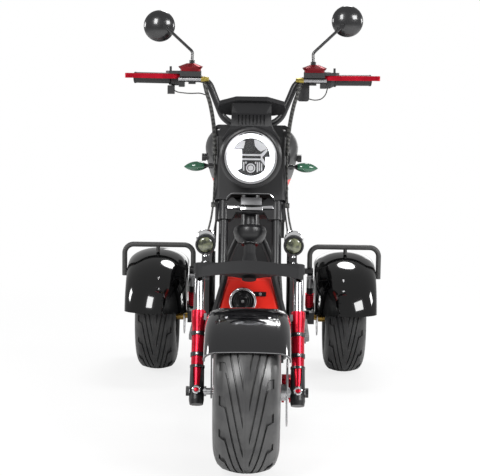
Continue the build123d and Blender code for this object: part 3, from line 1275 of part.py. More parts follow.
def arch_section(half, crest, skirt):
    """Fender section: a crown with a slight camber, round corners and upright sides."""
    with BuildSketch() as section:
        with BuildLine():
            ThreePointArc((-half, crest - 42), (-half + 12.5, crest - 15.5), (-half + 44, crest - 3.5))
            ThreePointArc((-half + 44, crest - 3.5), (0, crest), (half - 44, crest - 3.5))
            ThreePointArc((half - 44, crest - 3.5), (half - 12.5, crest - 15.5), (half, crest - 42))
            Polyline((half, crest - 42), (half, skirt), (-half, skirt), (-half, crest - 42))
        make_face()
    return section.sketch


with BuildPart() as front_fender:
    with BuildSketch(facing(*FRONT_AXLE)):
        add(arch_section(ARCH_HALF, ARCH_R, ARCH_SKIRT))
    revolve(axis=Axis(FRONT_AXLE, (1, 0, 0)))
    with BuildSketch(facing(*FRONT_AXLE)):
        add(arch_section(ARCH_HALF - ARCH_WALL, ARCH_R - ARCH_WALL, ARCH_SKIRT - 1))
    revolve(axis=Axis(FRONT_AXLE, (1, 0, 0)), mode=Mode.SUBTRACT)
    with BuildSketch(across(0, FRONT_Y, FRONT_RADIUS)):
        with BuildLine():
            Polyline((0, 0), (400, 400 * tan(radians(ARCH_REAR))), (400, -400), (-400, -400),
                     (-400, 400 * tan(radians(ARCH_FRONT))), close=True)
        make_face()
    extrude(amount=200, both=True, mode=Mode.SUBTRACT)
front_fender.part.label = "front_fender"
export_step(front_fender.part, "parts/front_fender.step")

# Fender stays: a block on each leg, and a flat strap down to the axle on the side without a disc.
STRAP_X = -106
with BuildPart() as fender_stays:
    for side in (-1, 1):
        with BuildSketch(fork_plane(side * (ARCH_HALF + 4), -FORK_OFFSET, 462)):
            Rectangle(8, 30)
        extrude(amount=20)
    with BuildSketch(across(STRAP_X - 2, FRONT_Y, FRONT_RADIUS)):
        with BuildLine():
            Polyline((-10, 8), (-34, 222), (-14, 226), (10, 8), close=True)
        make_face()
        Circle(21)
        Circle(AXLE_R, mode=Mode.SUBTRACT)
    extrude(amount=4)
    with Locations((STRAP_X - 8, FRONT_Y - 23, FRONT_RADIUS + 216)):
        Box(14, 22, 16)
    add(fork_legs.part, mode=Mode.SUBTRACT)
    add(front_fender.part, mode=Mode.SUBTRACT)
fender_stays.part.label = "fender_stays"
export_step(fender_stays.part, "parts/fender_stays.step")

# Front caliper behind the left leg, its slot clear of the disc.
with BuildPart() as front_caliper:
    with Locations((127, FRONT_Y + 84, FRONT_RADIUS - 8)):
        Box(48, 72, 74)
    fillet(front_caliper.edges().filter_by(Axis.X), 10)
    with Locations((139, FRONT_Y + 36, FRONT_RADIUS - 4)):
        Box(20, 50, 40)
    with Locations(Location((FRONT_DISC_X, FRONT_Y, FRONT_RADIUS), (0, 90, 0))):
        Cylinder(FRONT_DISC_R + 6, DISC_THICK + 11, mode=Mode.SUBTRACT)
    add(fork_feet.part, mode=Mode.SUBTRACT)
    add(fork_legs.part, mode=Mode.SUBTRACT)
front_caliper.part.label = "front_caliper"
export_step(front_caliper.part, "parts/front_caliper.step")

# ---------------------------------------------------------------- hoses
SLEEVE_HOSE_R, CABLE_R, WIRE_R = 6.3, 3, 1.8
SLEEVE_ROUTE = ((150, -298, 1128), (143, -306, 1100), (133, -322, 1074), (124, -346, 1038), (117, -378, 1000),
                (113, -408, 960), (111, -430, 915))
CABLE_ROUTE = ((111, -429, 917), (111, -451, 840), (113, -466, 772), (119, -480, 724), (128, -492, 688))
RIGHT_WIRE = ((-250, -256, 1104), (-236, -260, 1097), (-197, -270, 1094), (-164, -284, 1097), (-146, -302, 1092))
LEFT_WIRE = ((176, -250, 1082), (196, -255, 1077), (218, -254, 1080), (233, -250, 1095), (238, -247, 1117))


def route_radii(points, share=0.45, largest=400.0):
    """Bend radii that let every arc use its share of the shorter run beside it."""
    vectors = [Vector(*p) for p in points]
    radii = []
    for before, here, after in zip(vectors, vectors[1:], vectors[2:]):
        turn = radians((here - before).get_angle(after - here))
        run = min((here - before).length, (after - here).length)
        radii.append(min(largest, share * run / tan(turn / 2)))
    return radii


# Wrapped hose from each banjo down beside the bar, a thin cable on from it through a clamp at the
# lower yoke to the lamp, and one loop of wire from each switch box.
with BuildPart() as hoses:
    for side in (-1, 1):
        for route, radius in ((SLEEVE_ROUTE, SLEEVE_HOSE_R), (CABLE_ROUTE, CABLE_R)):
            points = [(side * x, y, z) for x, y, z in route]
            add(tube(points, radius, route_radii(points)))
        with Locations((side * 113, -463, 766)):
            Box(14, 13, 14)
    for route in (RIGHT_WIRE, LEFT_WIRE):
        add(tube(route, WIRE_R, route_radii(route)))
    add(controls.part, mode=Mode.SUBTRACT)
    add(brake_fittings.part, mode=Mode.SUBTRACT)
    add(yokes.part, mode=Mode.SUBTRACT)
    add(aux_lamps.part, mode=Mode.SUBTRACT)
hoses.part.label = "hoses"
export_step(hoses.part, "parts/hoses.step")
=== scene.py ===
# %% [markdown]
# # A three-wheeled electric chopper
# The solid parts of this vehicle come from a CAD model: frame, fork, fenders, covers. This lesson
# dresses them in Blender. Parts whose shape is already right only get a finish. Parts that need a
# pattern, a padded form or fine detail are modelled again here and stand in for the CAD part.
# Everything is in metres, the ground is Z = 0, the vehicle drives towards -Y and its left side is +X.

# %% Load the CAD parts
import math

import bmesh
import bpy
from mathutils import Matrix, Vector


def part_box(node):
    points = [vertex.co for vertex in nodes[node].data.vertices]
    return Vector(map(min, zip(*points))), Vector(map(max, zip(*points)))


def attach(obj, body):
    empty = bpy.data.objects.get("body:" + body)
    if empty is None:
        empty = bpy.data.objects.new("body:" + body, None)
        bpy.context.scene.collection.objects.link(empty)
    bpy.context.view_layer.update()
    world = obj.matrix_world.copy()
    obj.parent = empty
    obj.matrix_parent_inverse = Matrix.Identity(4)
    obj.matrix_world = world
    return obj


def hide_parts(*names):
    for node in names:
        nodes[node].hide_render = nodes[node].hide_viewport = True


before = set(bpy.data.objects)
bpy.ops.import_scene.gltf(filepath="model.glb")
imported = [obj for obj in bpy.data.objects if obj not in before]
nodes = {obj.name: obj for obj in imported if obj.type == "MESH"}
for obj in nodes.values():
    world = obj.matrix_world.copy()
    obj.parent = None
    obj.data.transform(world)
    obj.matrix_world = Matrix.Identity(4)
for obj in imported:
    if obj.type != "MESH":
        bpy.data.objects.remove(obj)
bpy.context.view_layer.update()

# %% [markdown]
# ## The camera
# The vehicle is seen from the front, from a little above the handlebar. A long lens keeps it free
# of strong perspective. The camera's axes are built from three angles, each turned in one step, so
# that every number has one plain meaning: how far it looks down, sideways, and leans.

# %% Camera
PICTURE_W = 480                       # width of the finished render
FOCAL_PIXELS = 1560                   # the lens, measured in pixels of that width
CAMERA_PLACE = Vector((0.0333, -5.210, 1.362))
LOOK_DOWN, LOOK_ASIDE, LEAN = math.radians(8.37), math.radians(-0.767), math.radians(0.75)

camera_data = bpy.data.cameras.new("camera")
camera_data.sensor_fit = "HORIZONTAL"
camera_data.sensor_width = 36.0
camera_data.lens = 36.0 * FOCAL_PIXELS / PICTURE_W
camera_data.clip_end = 50.0
camera = bpy.data.objects.new("camera", camera_data)
bpy.context.collection.objects.link(camera)

ahead = Vector((math.sin(LOOK_ASIDE) * math.cos(LOOK_DOWN), math.cos(LOOK_ASIDE) * math.cos(LOOK_DOWN),
                -math.sin(LOOK_DOWN)))
level_right = Vector((math.cos(LOOK_ASIDE), -math.sin(LOOK_ASIDE), 0))
level_up = level_right.cross(ahead)
right = level_right * math.cos(LEAN) + level_up * math.sin(LEAN)
up = -level_right * math.sin(LEAN) + level_up * math.cos(LEAN)
turn = Matrix((right, up, -ahead)).transposed()
camera.matrix_world = Matrix.Translation(CAMERA_PLACE) @ turn.to_4x4()
bpy.context.scene.camera = camera
print("lens", round(camera_data.lens, 1), "mm")

# %% [markdown]
# ## Materials
# Each finish is a small node graph. Patterns are measured on Object coordinates, in metres, so that
# their grain has a real size and stays fixed to the part when the camera moves. A helper makes the
# shader and the coordinates, and further helpers add a grain to the bump and a slow change to the
# roughness, because no real surface is equally shiny everywhere.

# %% Helpers that build a shader
def new_shader(name, colour, roughness, metallic=0.0, **sockets):
    """A material with one Principled shader; further sockets are named by keyword."""
    material = bpy.data.materials.new(name)
    material.use_nodes = True
    shader = material.node_tree.nodes["Principled BSDF"]
    shader.inputs["Base Color"].default_value = (*colour, 1.0)
    shader.inputs["Roughness"].default_value = roughness
    shader.inputs["Metallic"].default_value = metallic
    for socket, value in sockets.items():
        shader.inputs[socket.replace("_", " ")].default_value = value
    return material, shader


def join(material, output, socket):
    """Joins a node's output to another node's socket."""
    material.node_tree.links.new(output, socket)


def add_node(material, kind, **inputs):
    """One more node, its inputs set or joined by name."""
    node = material.node_tree.nodes.new(kind)
    for name, value in inputs.items():
        socket = node.inputs[name.replace("_", " ")]
        if isinstance(value, bpy.types.NodeSocket):
            join(material, value, socket)
        else:
            socket.default_value = value
    return node


def object_place(material, stretch=(1, 1, 1)):
    """Object coordinates, stretched when the pattern has a direction."""
    source = add_node(material, "ShaderNodeTexCoord").outputs["Object"]
    if stretch == (1, 1, 1):
        return source
    return add_node(material, "ShaderNodeMapping", Vector=source, Scale=stretch).outputs["Vector"]


# %% Helpers for grain, shine and tone
GRAIN_DEPTH = 0.0004                  # how deep a grain of full strength is


def grain_bump(material, shader, kind, scale, strength, stretch=(1, 1, 1)):
    """Fine surface grain as bump: kind is "noise" or "cells"."""
    place = object_place(material, stretch)
    if kind == "cells":
        grain = add_node(material, "ShaderNodeTexVoronoi", Vector=place, Scale=scale).outputs["Distance"]
    else:
        grain = add_node(material, "ShaderNodeTexNoise", Vector=place, Scale=scale, Detail=4.0).outputs["Fac"]
    bump = add_node(material, "ShaderNodeBump", Height=grain, Strength=strength, Distance=GRAIN_DEPTH)
    join(material, bump.outputs["Normal"], shader.inputs["Normal"])


def uneven(material, shader, low, high, scale):
    """Lets the roughness wander slowly between low and high."""
    noise = add_node(material, "ShaderNodeTexNoise", Vector=object_place(material), Scale=scale, Detail=3.0)
    spread = add_node(material, "ShaderNodeMapRange", Value=noise.outputs["Fac"], From_Min=0.3, From_Max=0.7,
                      To_Min=low, To_Max=high)
    join(material, spread.outputs["Result"], shader.inputs["Roughness"])


def two_tone(material, shader, first, second, scale):
    """Lets the colour wander between two tones."""
    noise = add_node(material, "ShaderNodeTexNoise", Vector=object_place(material), Scale=scale, Detail=5.0)
    ramp = add_node(material, "ShaderNodeValToRGB", Fac=noise.outputs["Fac"])
    ramp.color_ramp.elements[0].position = 0.4
    ramp.color_ramp.elements[0].color = (*first, 1)
    ramp.color_ramp.elements[1].position = 0.6
    ramp.color_ramp.elements[1].color = (*second, 1)
    join(material, ramp.outputs["Color"], shader.inputs["Base Color"])


# %% [markdown]
# ### Paints and plastics
# The fenders wear black lacquer, a dark base under a clear coat. The rear pair has a copy with a
# darker base colour, a painted shade, and a weaker shine. The tank has a satin paint, and the rails
# over the rear fenders are grey. Frame tubes are powder coated, which is less shiny and has a very
# fine orange-peel. Covers are moulded plastic with a pebbled grain. The fork legs are anodised: a
# metal whose colour sits in its skin.

# %% Black and grey paints
lacquer, shader = new_shader("black_lacquer", (0.004, 0.004, 0.005), 0.12, Coat_Weight=1.0, Coat_Roughness=0.015)
grain_bump(lacquer, shader, "noise", 260, 0.02)
uneven(lacquer, shader, 0.10, 0.16, 9)

# A copy of the black lacquer for the rear fenders. Its darker base colour is painted shade.
rear_lacquer_painted_shade, shader = new_shader("rear_lacquer_painted_shade", (0.001, 0.001, 0.0012), 0.10, Specular_IOR_Level=0.15,
                                  Coat_Weight=1.0, Coat_Roughness=0.012)
uneven(rear_lacquer_painted_shade, shader, 0.08, 0.14, 9)

rail_grey, shader = new_shader("rail_grey", (0.055, 0.055, 0.054), 0.5)
grain_bump(rail_grey, shader, "noise", 900, 0.15)
uneven(rail_grey, shader, 0.42, 0.56, 14)

tank_paint, shader = new_shader("tank_paint", (0.012, 0.012, 0.013), 0.36, Coat_Weight=0.3, Coat_Roughness=0.2)
grain_bump(tank_paint, shader, "noise", 500, 0.05)
uneven(tank_paint, shader, 0.32, 0.42, 9)

powder_coat, shader = new_shader("powder_coat", (0.010, 0.010, 0.011), 0.34)
grain_bump(powder_coat, shader, "noise", 900, 0.12)
uneven(powder_coat, shader, 0.28, 0.42, 14)
print("black and grey paints ready")

# %% Moulded plastics
moulded, shader = new_shader("moulded_black", (0.017, 0.017, 0.018), 0.48)
grain_bump(moulded, shader, "cells", 700, 0.25)
uneven(moulded, shader, 0.42, 0.55, 12)

polished_plastic, shader = new_shader("polished_plastic", (0.012, 0.012, 0.013), 0.22, Coat_Weight=0.6,
                                      Coat_Roughness=0.06)
uneven(polished_plastic, shader, 0.18, 0.28, 20)

bezel_black, shader = new_shader("bezel_black", (0.020, 0.020, 0.021), 0.36, Specular_IOR_Level=0.35)
grain_bump(bezel_black, shader, "noise", 700, 0.06)
uneven(bezel_black, shader, 0.33, 0.42, 20)

cowl_black, shader = new_shader("cowl_black", (0.014, 0.014, 0.015), 0.55, Specular_IOR_Level=0.25)
grain_bump(cowl_black, shader, "cells", 700, 0.2)
uneven(cowl_black, shader, 0.50, 0.62, 12)
print("plastics ready")

# %% Red paint and anodised metal
red_lacquer, shader = new_shader("red_lacquer", (0.95, 0.024, 0.012), 0.38, Coat_Weight=0.3, Coat_Roughness=0.12)
two_tone(red_lacquer, shader, (0.96, 0.026, 0.012), (0.88, 0.020, 0.010), 6)

anodised, shader = new_shader("anodised_red", (0.52, 0.004, 0.020), 0.27, metallic=0.7)
grain_bump(anodised, shader, "noise", 420, 0.05, stretch=(1, 1, 0.2))
two_tone(anodised, shader, (0.58, 0.006, 0.026), (0.44, 0.003, 0.016), 18)

dark_anodised, shader = new_shader("dark_anodised", (0.20, 0.004, 0.010), 0.35, metallic=0.6)
grain_bump(dark_anodised, shader, "noise", 420, 0.05)
two_tone(dark_anodised, shader, (0.22, 0.005, 0.011), (0.15, 0.003, 0.008), 30)
print("reds ready")

# %% [markdown]
# ### Metals
# Chrome is a mirror with little roughness. The fork's sliding tubes are smoother still and darker,
# so that they show narrow bands of lamp and room. Cast parts are duller and slightly sandy. Turned
# and rolled steel has fine lines along one direction, which come from stretched noise.

# %% Metals
chrome, shader = new_shader("chrome", (0.86, 0.86, 0.88), 0.07, metallic=1.0)
uneven(chrome, shader, 0.04, 0.12, 25)

polished_chrome, shader = new_shader("polished_chrome", (0.40, 0.40, 0.41), 0.02, metallic=1.0)
uneven(polished_chrome, shader, 0.01, 0.025, 12)

cast_grey, shader = new_shader("cast_grey", (0.16, 0.16, 0.165), 0.42, metallic=0.7)
grain_bump(cast_grey, shader, "noise", 650, 0.3)
uneven(cast_grey, shader, 0.34, 0.55, 20)

steel, shader = new_shader("turned_steel", (0.62, 0.62, 0.63), 0.28, metallic=1.0)
grain_bump(steel, shader, "noise", 300, 0.15, stretch=(0.1, 6, 6))
uneven(steel, shader, 0.2, 0.4, 30)
print("metals ready")

# %% [markdown]
# ### Parts with two finishes
# Some parts are one casting or one assembly with two finishes, such as a black block with a brass
# sleeve. The CAD mesh stays whole, so a mask along an object axis tells the shader where one finish
# ends and the other begins. Its two numbers are places on that axis in metres, close together, and
# the mask climbs from 0 to 1 between them. A mirrored mask does the same on both sides.

# %% Helpers for two finishes on one part
def along(material, axis, start, end, mirrored=False):
    """A mask that goes from 0 at start to 1 at end along an object axis, in metres."""
    split = add_node(material, "ShaderNodeSeparateXYZ", Vector=object_place(material)).outputs[axis]
    if mirrored:
        fold = add_node(material, "ShaderNodeMath")
        fold.operation = "ABSOLUTE"
        join(material, split, fold.inputs[0])
        split = fold.outputs["Value"]
    return add_node(material, "ShaderNodeMapRange", Value=split, From_Min=start, From_Max=end).outputs["Result"]


def blend_colour(material, shader, mask, first, second):
    """Two colours on one part, chosen by a mask."""
    ramp = add_node(material, "ShaderNodeValToRGB", Fac=mask)
    ramp.color_ramp.elements[0].color = (*first, 1)
    ramp.color_ramp.elements[1].color = (*second, 1)
    join(material, ramp.outputs["Color"], shader.inputs["Base Color"])


def blend_number(material, shader, socket, mask, first, second):
    """Two values of one socket on one part, chosen by a mask."""
    spread = add_node(material, "ShaderNodeMapRange", Value=mask, To_Min=first, To_Max=second)
    join(material, spread.outputs["Result"], shader.inputs[socket])


def near_axle(material, middle, radius):
    """A mask that is 0 within radius of a wheel's axle and 1 outside it."""
    flat = add_node(material, "ShaderNodeMapping", Vector=object_place(material), Scale=(0, 1, 1))
    reach = add_node(material, "ShaderNodeVectorMath")
    reach.operation = "DISTANCE"
    join(material, flat.outputs["Vector"], reach.inputs[0])
    reach.inputs[1].default_value = (0, *middle)
    return add_node(material, "ShaderNodeMapRange", Value=reach.outputs["Value"], From_Min=radius - 0.0003,
                    From_Max=radius + 0.0003).outputs["Result"]


# %% Axles, hubs and brakes
BRASS, BARE_STEEL, INK = (0.45, 0.28, 0.07), (0.62, 0.62, 0.63), (0.010, 0.010, 0.011)
REAR_X, REAR_Y, REAR_Z = 0.35325, 0.620, 0.203
HUB_BRASS_R = 0.0215                  # how far the brass middle of a rear hub reaches

axle_finish, shader = new_shader("axle_finish", (0.5, 0.5, 0.5), 0.35, metallic=0.9)
mask = along(axle_finish, "X", 0.2398, 0.2402, mirrored=True)        # black block, then brass sleeve
blend_colour(axle_finish, shader, mask, INK, BRASS)
blend_number(axle_finish, shader, "Metallic", mask, 0.1, 1.0)

hub_disc, shader = new_shader("disc_with_brass_hub", (0.6, 0.6, 0.6), 0.3, metallic=1.0)
mask = near_axle(hub_disc, (REAR_Y, REAR_Z), HUB_BRASS_R)
blend_colour(hub_disc, shader, mask, BRASS, BARE_STEEL)
uneven(hub_disc, shader, 0.22, 0.38, 30)

axle_steel, shader = new_shader("axle_steel", (0.5, 0.5, 0.5), 0.3, metallic=1.0)
mask = along(axle_steel, "X", 0.1715, 0.1725, mirrored=True)         # grey spindle, then black ends
blend_colour(axle_steel, shader, mask, (0.45, 0.45, 0.46), (0.012, 0.012, 0.013))
blend_number(axle_steel, shader, "Metallic", mask, 1.0, 0.0)

brake_metal, shader = new_shader("brake_metal", (0.6, 0.6, 0.6), 0.3, metallic=1.0)
mask = along(brake_metal, "X", 0.1606, 0.1614, mirrored=True)        # brass inboard, grey outboard
blend_colour(brake_metal, shader, mask, (0.38, 0.30, 0.07), (0.40, 0.40, 0.41))
uneven(brake_metal, shader, 0.25, 0.4, 60)
print("axles, hubs and brakes ready")

# %% Lamp reflector and lamp housings
reflector, shader = new_shader("lamp_reflector", (0.8, 0.8, 0.8), 0.12, metallic=1.0)
mask = along(reflector, "Y", -0.5290, -0.5270)                       # bright in front, black behind
blend_colour(reflector, shader, mask, (0.70, 0.70, 0.72), (0.018, 0.018, 0.019))
blend_number(reflector, shader, "Roughness", mask, 0.12, 0.5)
blend_number(reflector, shader, "Metallic", mask, 0.35, 0.0)

lamp_body, shader = new_shader("lamp_body", (0.5, 0.5, 0.5), 0.15, metallic=1.0)
behind, above = along(lamp_body, "Y", -0.5175, -0.5165), along(lamp_body, "Z", 0.628, 0.629)
both = add_node(lamp_body, "ShaderNodeMath")
both.operation = "MULTIPLY"
join(lamp_body, behind, both.inputs[0])
join(lamp_body, above, both.inputs[1])
mask = both.outputs["Value"]                                         # bright where both are 1
blend_colour(lamp_body, shader, mask, INK, (0.93, 0.93, 0.94))
blend_number(lamp_body, shader, "Metallic", mask, 0.0, 1.0)
blend_number(lamp_body, shader, "Roughness", mask, 0.3, 0.03)
print("lamp housings ready")

# %% Shock bodies and brake hoses
damper, shader = new_shader("damper_finish", (0.3, 0.3, 0.3), 0.35, metallic=0.9)
mask = along(damper, "Z", 0.325, 0.326)                              # black below, grey above
blend_colour(damper, shader, mask, (0.012, 0.012, 0.013), (0.22, 0.22, 0.225))
uneven(damper, shader, 0.3, 0.42, 30)

sleeve_rubber, shader = new_shader("sleeve_rubber", (0.02, 0.02, 0.02), 0.45)
wave = add_node(sleeve_rubber, "ShaderNodeTexWave", Vector=object_place(sleeve_rubber, (0.35, 0.5, 1)), Scale=38.0,
                Distortion=1.5, Detail=1.0)
wave.bands_direction = "DIAGONAL"
# The colour follows the twist's height: dark in its hollows and light on its ridges, so painted shade and a
# painted highlight.
blend_colour(sleeve_rubber, shader, wave.outputs["Fac"], (0.006, 0.006, 0.006), (0.055, 0.055, 0.050))
bump = add_node(sleeve_rubber, "ShaderNodeBump", Height=wave.outputs["Fac"], Strength=0.6, Distance=0.0015)
join(sleeve_rubber, bump.outputs["Normal"], shader.inputs["Normal"])
print("shock bodies and hoses ready")

# %% [markdown]
# ### Rubber, leather, glass and light
# Tyre rubber is dark grey rather than black, and dust makes it uneven. The front tyre has a faint
# shine. The rear ones are duller, and their rubber is a copy whose darker colour is painted shade.
# The grips are a softer rubber, and the seat's leather has cells of about two millimetres. The lamps
# have a clear cover, and the daylight ring is a white light guide that glows by itself.

# %% Rubber and leather
tread_rubber, shader = new_shader("tread_rubber", (0.030, 0.030, 0.031), 0.36, Specular_IOR_Level=0.8)
two_tone(tread_rubber, shader, (0.022, 0.022, 0.023), (0.044, 0.044, 0.044), 22)
grain_bump(tread_rubber, shader, "noise", 380, 0.25)
uneven(tread_rubber, shader, 0.30, 0.46, 16)

# The rear tyres' rubber: a duller copy of the front's, and its darker colour is painted shade.
rear_rubber_painted_shade, shader = new_shader("rear_rubber_painted_shade", (0.020, 0.020, 0.021), 0.46)
two_tone(rear_rubber_painted_shade, shader, (0.013, 0.013, 0.014), (0.026, 0.026, 0.026), 22)
grain_bump(rear_rubber_painted_shade, shader, "noise", 380, 0.25)
uneven(rear_rubber_painted_shade, shader, 0.38, 0.52, 16)

soft_rubber, shader = new_shader("soft_rubber", (0.018, 0.018, 0.018), 0.55)
grain_bump(soft_rubber, shader, "cells", 900, 0.3)

leather, shader = new_shader("seat_leather", (0.015, 0.014, 0.014), 0.6, Specular_IOR_Level=0.35)
grain_bump(leather, shader, "cells", 420, 0.5)
uneven(leather, shader, 0.52, 0.68, 10)
print("rubber and leather ready")

# %% Glass and light
clear_glass, shader = new_shader("clear_glass", (1, 1, 1), 0.02, Transmission_Weight=1.0, IOR=1.15)
uneven(clear_glass, shader, 0.01, 0.03, 30)

smoked_glass, shader = new_shader("olive_glass", (0.060, 0.066, 0.038), 0.10, Coat_Weight=1.0,
                                  Coat_Roughness=0.02)
two_tone(smoked_glass, shader, (0.025, 0.028, 0.018), (0.16, 0.17, 0.10), 60)

mirror_face, shader = new_shader("mirror_face", (0.85, 0.86, 0.88), 0.02, metallic=1.0)
uneven(mirror_face, shader, 0.01, 0.03, 30)

light_guide, shader = new_shader("light_guide", (0.95, 0.96, 1.0), 0.3, Emission_Color=(0.95, 0.97, 1.0, 1.0),
                                 Emission_Strength=1.1)
uneven(light_guide, shader, 0.25, 0.4, 60)

tail_red, shader = new_shader("tail_red", (0.42, 0.006, 0.006), 0.18, Coat_Weight=0.5, Coat_Roughness=0.05)
grain_bump(tail_red, shader, "cells", 240, 0.5)

signal_lens, shader = new_shader("signal_lens", (0.02, 0.075, 0.045), 0.15, Coat_Weight=0.8, Coat_Roughness=0.04)
two_tone(signal_lens, shader, (0.012, 0.02, 0.018), (0.03, 0.12, 0.07), 45)

front_signal, shader = new_shader("signal_on_stalk", (0.02, 0.075, 0.045), 0.14, Coat_Weight=0.8,
                                  Coat_Roughness=0.03)
mask = along(front_signal, "X", 0.1430, 0.1450, mirrored=True)       # black stalk, then green lens
blend_colour(front_signal, shader, mask, (0.008, 0.008, 0.009), (0.018, 0.095, 0.050))
uneven(front_signal, shader, 0.10, 0.22, 45)
print("glass and light ready")

# %% [markdown]
# ## Finishes on the CAD parts
# A CAD part whose shape is right keeps it. Its object only gets a material slot. One table says
# which part wears which finish, so nothing is forgotten, and a check prints what is left over.

# %% A finish for every CAD part
FINISHES = {
    "main_frame": powder_coat, "battery_box": moulded, "front_panel": red_lacquer, "body_covers": moulded,
    "tank": tank_paint, "tank_base": red_lacquer, "seat": leather, "backrest_hoop": powder_coat,
    "backrest_pad": leather, "tail_cover": moulded, "tail_lamp": tail_red, "swing_arm": powder_coat,
    "drive_motor": cast_grey, "axle_ends": axle_finish, "shock_bodies": damper, "shock_springs": anodised,
    "rear_fenders": rear_lacquer_painted_shade, "fender_rails": rail_grey, "rear_calipers": powder_coat,
    "footboards": cast_grey, "horn": polished_plastic, "plate_arm": powder_coat,
    "rear_signals": signal_lens, "fork_stanchions": polished_chrome, "fork_legs": anodised,
    "fork_feet": powder_coat, "front_axle": axle_steel, "fork_crown": cowl_black, "crown_cover": cowl_black,
    "yokes": powder_coat, "handlebar": powder_coat, "grips": soft_rubber, "levers": anodised,
    "controls": moulded, "brake_fittings": brake_metal, "reservoir_caps": dark_anodised,
    "mirrors": polished_plastic, "mirror_glass": mirror_face, "headlight_bowl": bezel_black,
    "headlight_ring": chrome, "headlight_drl": light_guide, "headlight_core": reflector,
    "lamp_lenses": clear_glass, "aux_lamps": lamp_body, "cowl": cowl_black, "fork_shroud": moulded,
    "front_signals": front_signal, "front_fender": lacquer, "fender_stays": cast_grey,
    "front_caliper": anodised, "hoses": sleeve_rubber, "front_tyre": tread_rubber, "front_rim": powder_coat,
    "front_disc": steel, "rear_tyre_right": tread_rubber, "rear_rim_right": powder_coat,
    "rear_disc_right": hub_disc, "rear_tyre_left": tread_rubber, "rear_rim_left": powder_coat,
    "rear_disc_left": hub_disc,
}


def wear(thing, material):
    """Gives an object its one material slot."""
    thing.data.materials.clear()
    thing.data.materials.append(material)


for name, material in FINISHES.items():
    wear(nodes[name], material)
print("without a finish:", sorted(set(nodes) - set(FINISHES)))

# %% [markdown]
# ## Making a new piece
# Every new piece starts as a bmesh, is shaped by operators, and ends as an object at the origin
# that rides on one of the CAD bodies. One helper does that last step for all of them.

# %% Helper that finishes a piece
def make_piece(name, mesh_data, body, material, smooth_angle, replaces=()):
    """Turns a bmesh into an object that rides on a body."""
    bmesh.ops.remove_doubles(mesh_data, verts=mesh_data.verts, dist=0.00002)
    bmesh.ops.recalc_face_normals(mesh_data, faces=mesh_data.faces)
    mesh = bpy.data.meshes.new(name)
    mesh_data.to_mesh(mesh)
    mesh_data.free()
    piece = bpy.data.objects.new(name, mesh)
    bpy.context.collection.objects.link(piece)
    wear(piece, material)
    mesh.shade_smooth()
    mesh.set_sharp_from_angle(angle=math.radians(smooth_angle))
    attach(piece, body)
    if replaces:
        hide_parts(*replaces)
    print(name, len(mesh.polygons), "faces")
    return piece


# %% [markdown]
# ## Tyres with a V tread
# The real tyres have long slanting grooves on both sides of a smooth middle rib. They make a V and
# bend outward at the shoulder. The tread could be bump, but grooves show in the outline and in
# grazing light, so they are geometry. The profile is spun round the axle. The mesh is then twisted,
# each ring by an angle that grows with its distance from the middle, so that the mesh's own lines
# run the way the grooves run. A groove is then just a strip of faces between two of those lines,
# inset a little and pushed inward.

# %% Tyre helper
GROOVES = 14                          # on each side of the tyre
STEPS_PER_GROOVE = 10
CROWN_RINGS = 16                      # mesh rings from the middle to the shoulder
GROOVE_SHARE = 0.28                   # of the pitch that the groove takes
GROOVE_DEPTH = 0.0065
GROOVE_FROM, GROOVE_TO = 0.09, 0.83   # where it runs, as shares of half the width
GROOVE_WALL = 0.0007                  # how far the bottom is inset from the top
LONG_TWIST, HOOK = 67, 2.2            # degrees round the wheel that a groove and its end run
TREAD_START = math.radians(-65)       # where the first groove on the left side starts


def tyre_profile(half, radius, rim, crown_drop, rings):
    """Outer profile as (x, r) pairs from one bead over the crown to the other."""
    shoulder_x = 0.72 * half
    flank_x, flank_r = half, rim + 0.23 * (radius - rim)
    arc_r = (shoulder_x ** 2 + crown_drop ** 2) / (2 * crown_drop)
    crown = []
    for step in range(rings + 1):
        x = shoulder_x * step / rings
        crown.append((x, radius - arc_r + math.sqrt(arc_r ** 2 - x ** 2)))
    side = [(0.80 * half, radius - 1.38 * crown_drop - 0.002), (0.87 * half, rim + 0.68 * (radius - rim)),
            (0.93 * half, rim + 0.54 * (radius - rim)), (0.975 * half, rim + 0.38 * (radius - rim)),
            (flank_x, flank_r), (0.985 * half, rim + 0.012), (0.95 * half, rim + 0.007),
            (0.90 * half, rim + 0.003), (0.84 * half, rim + 0.0002)]
    whole = crown + side
    return [(-x, r) for x, r in reversed(whole[1:])] + whole


def tread_twist(across, half):
    """Angle by which a ring is turned: steep from the middle rib to the shoulder, then a short hook."""
    start, end, kick = 0.08 * half, 0.62 * half, 0.84 * half
    if across <= start:
        return 0.0
    if across <= end:
        return math.radians(LONG_TWIST) * (across - start) / (end - start)
    return math.radians(LONG_TWIST + HOOK * min(1.0, (across - end) / (kick - end)))


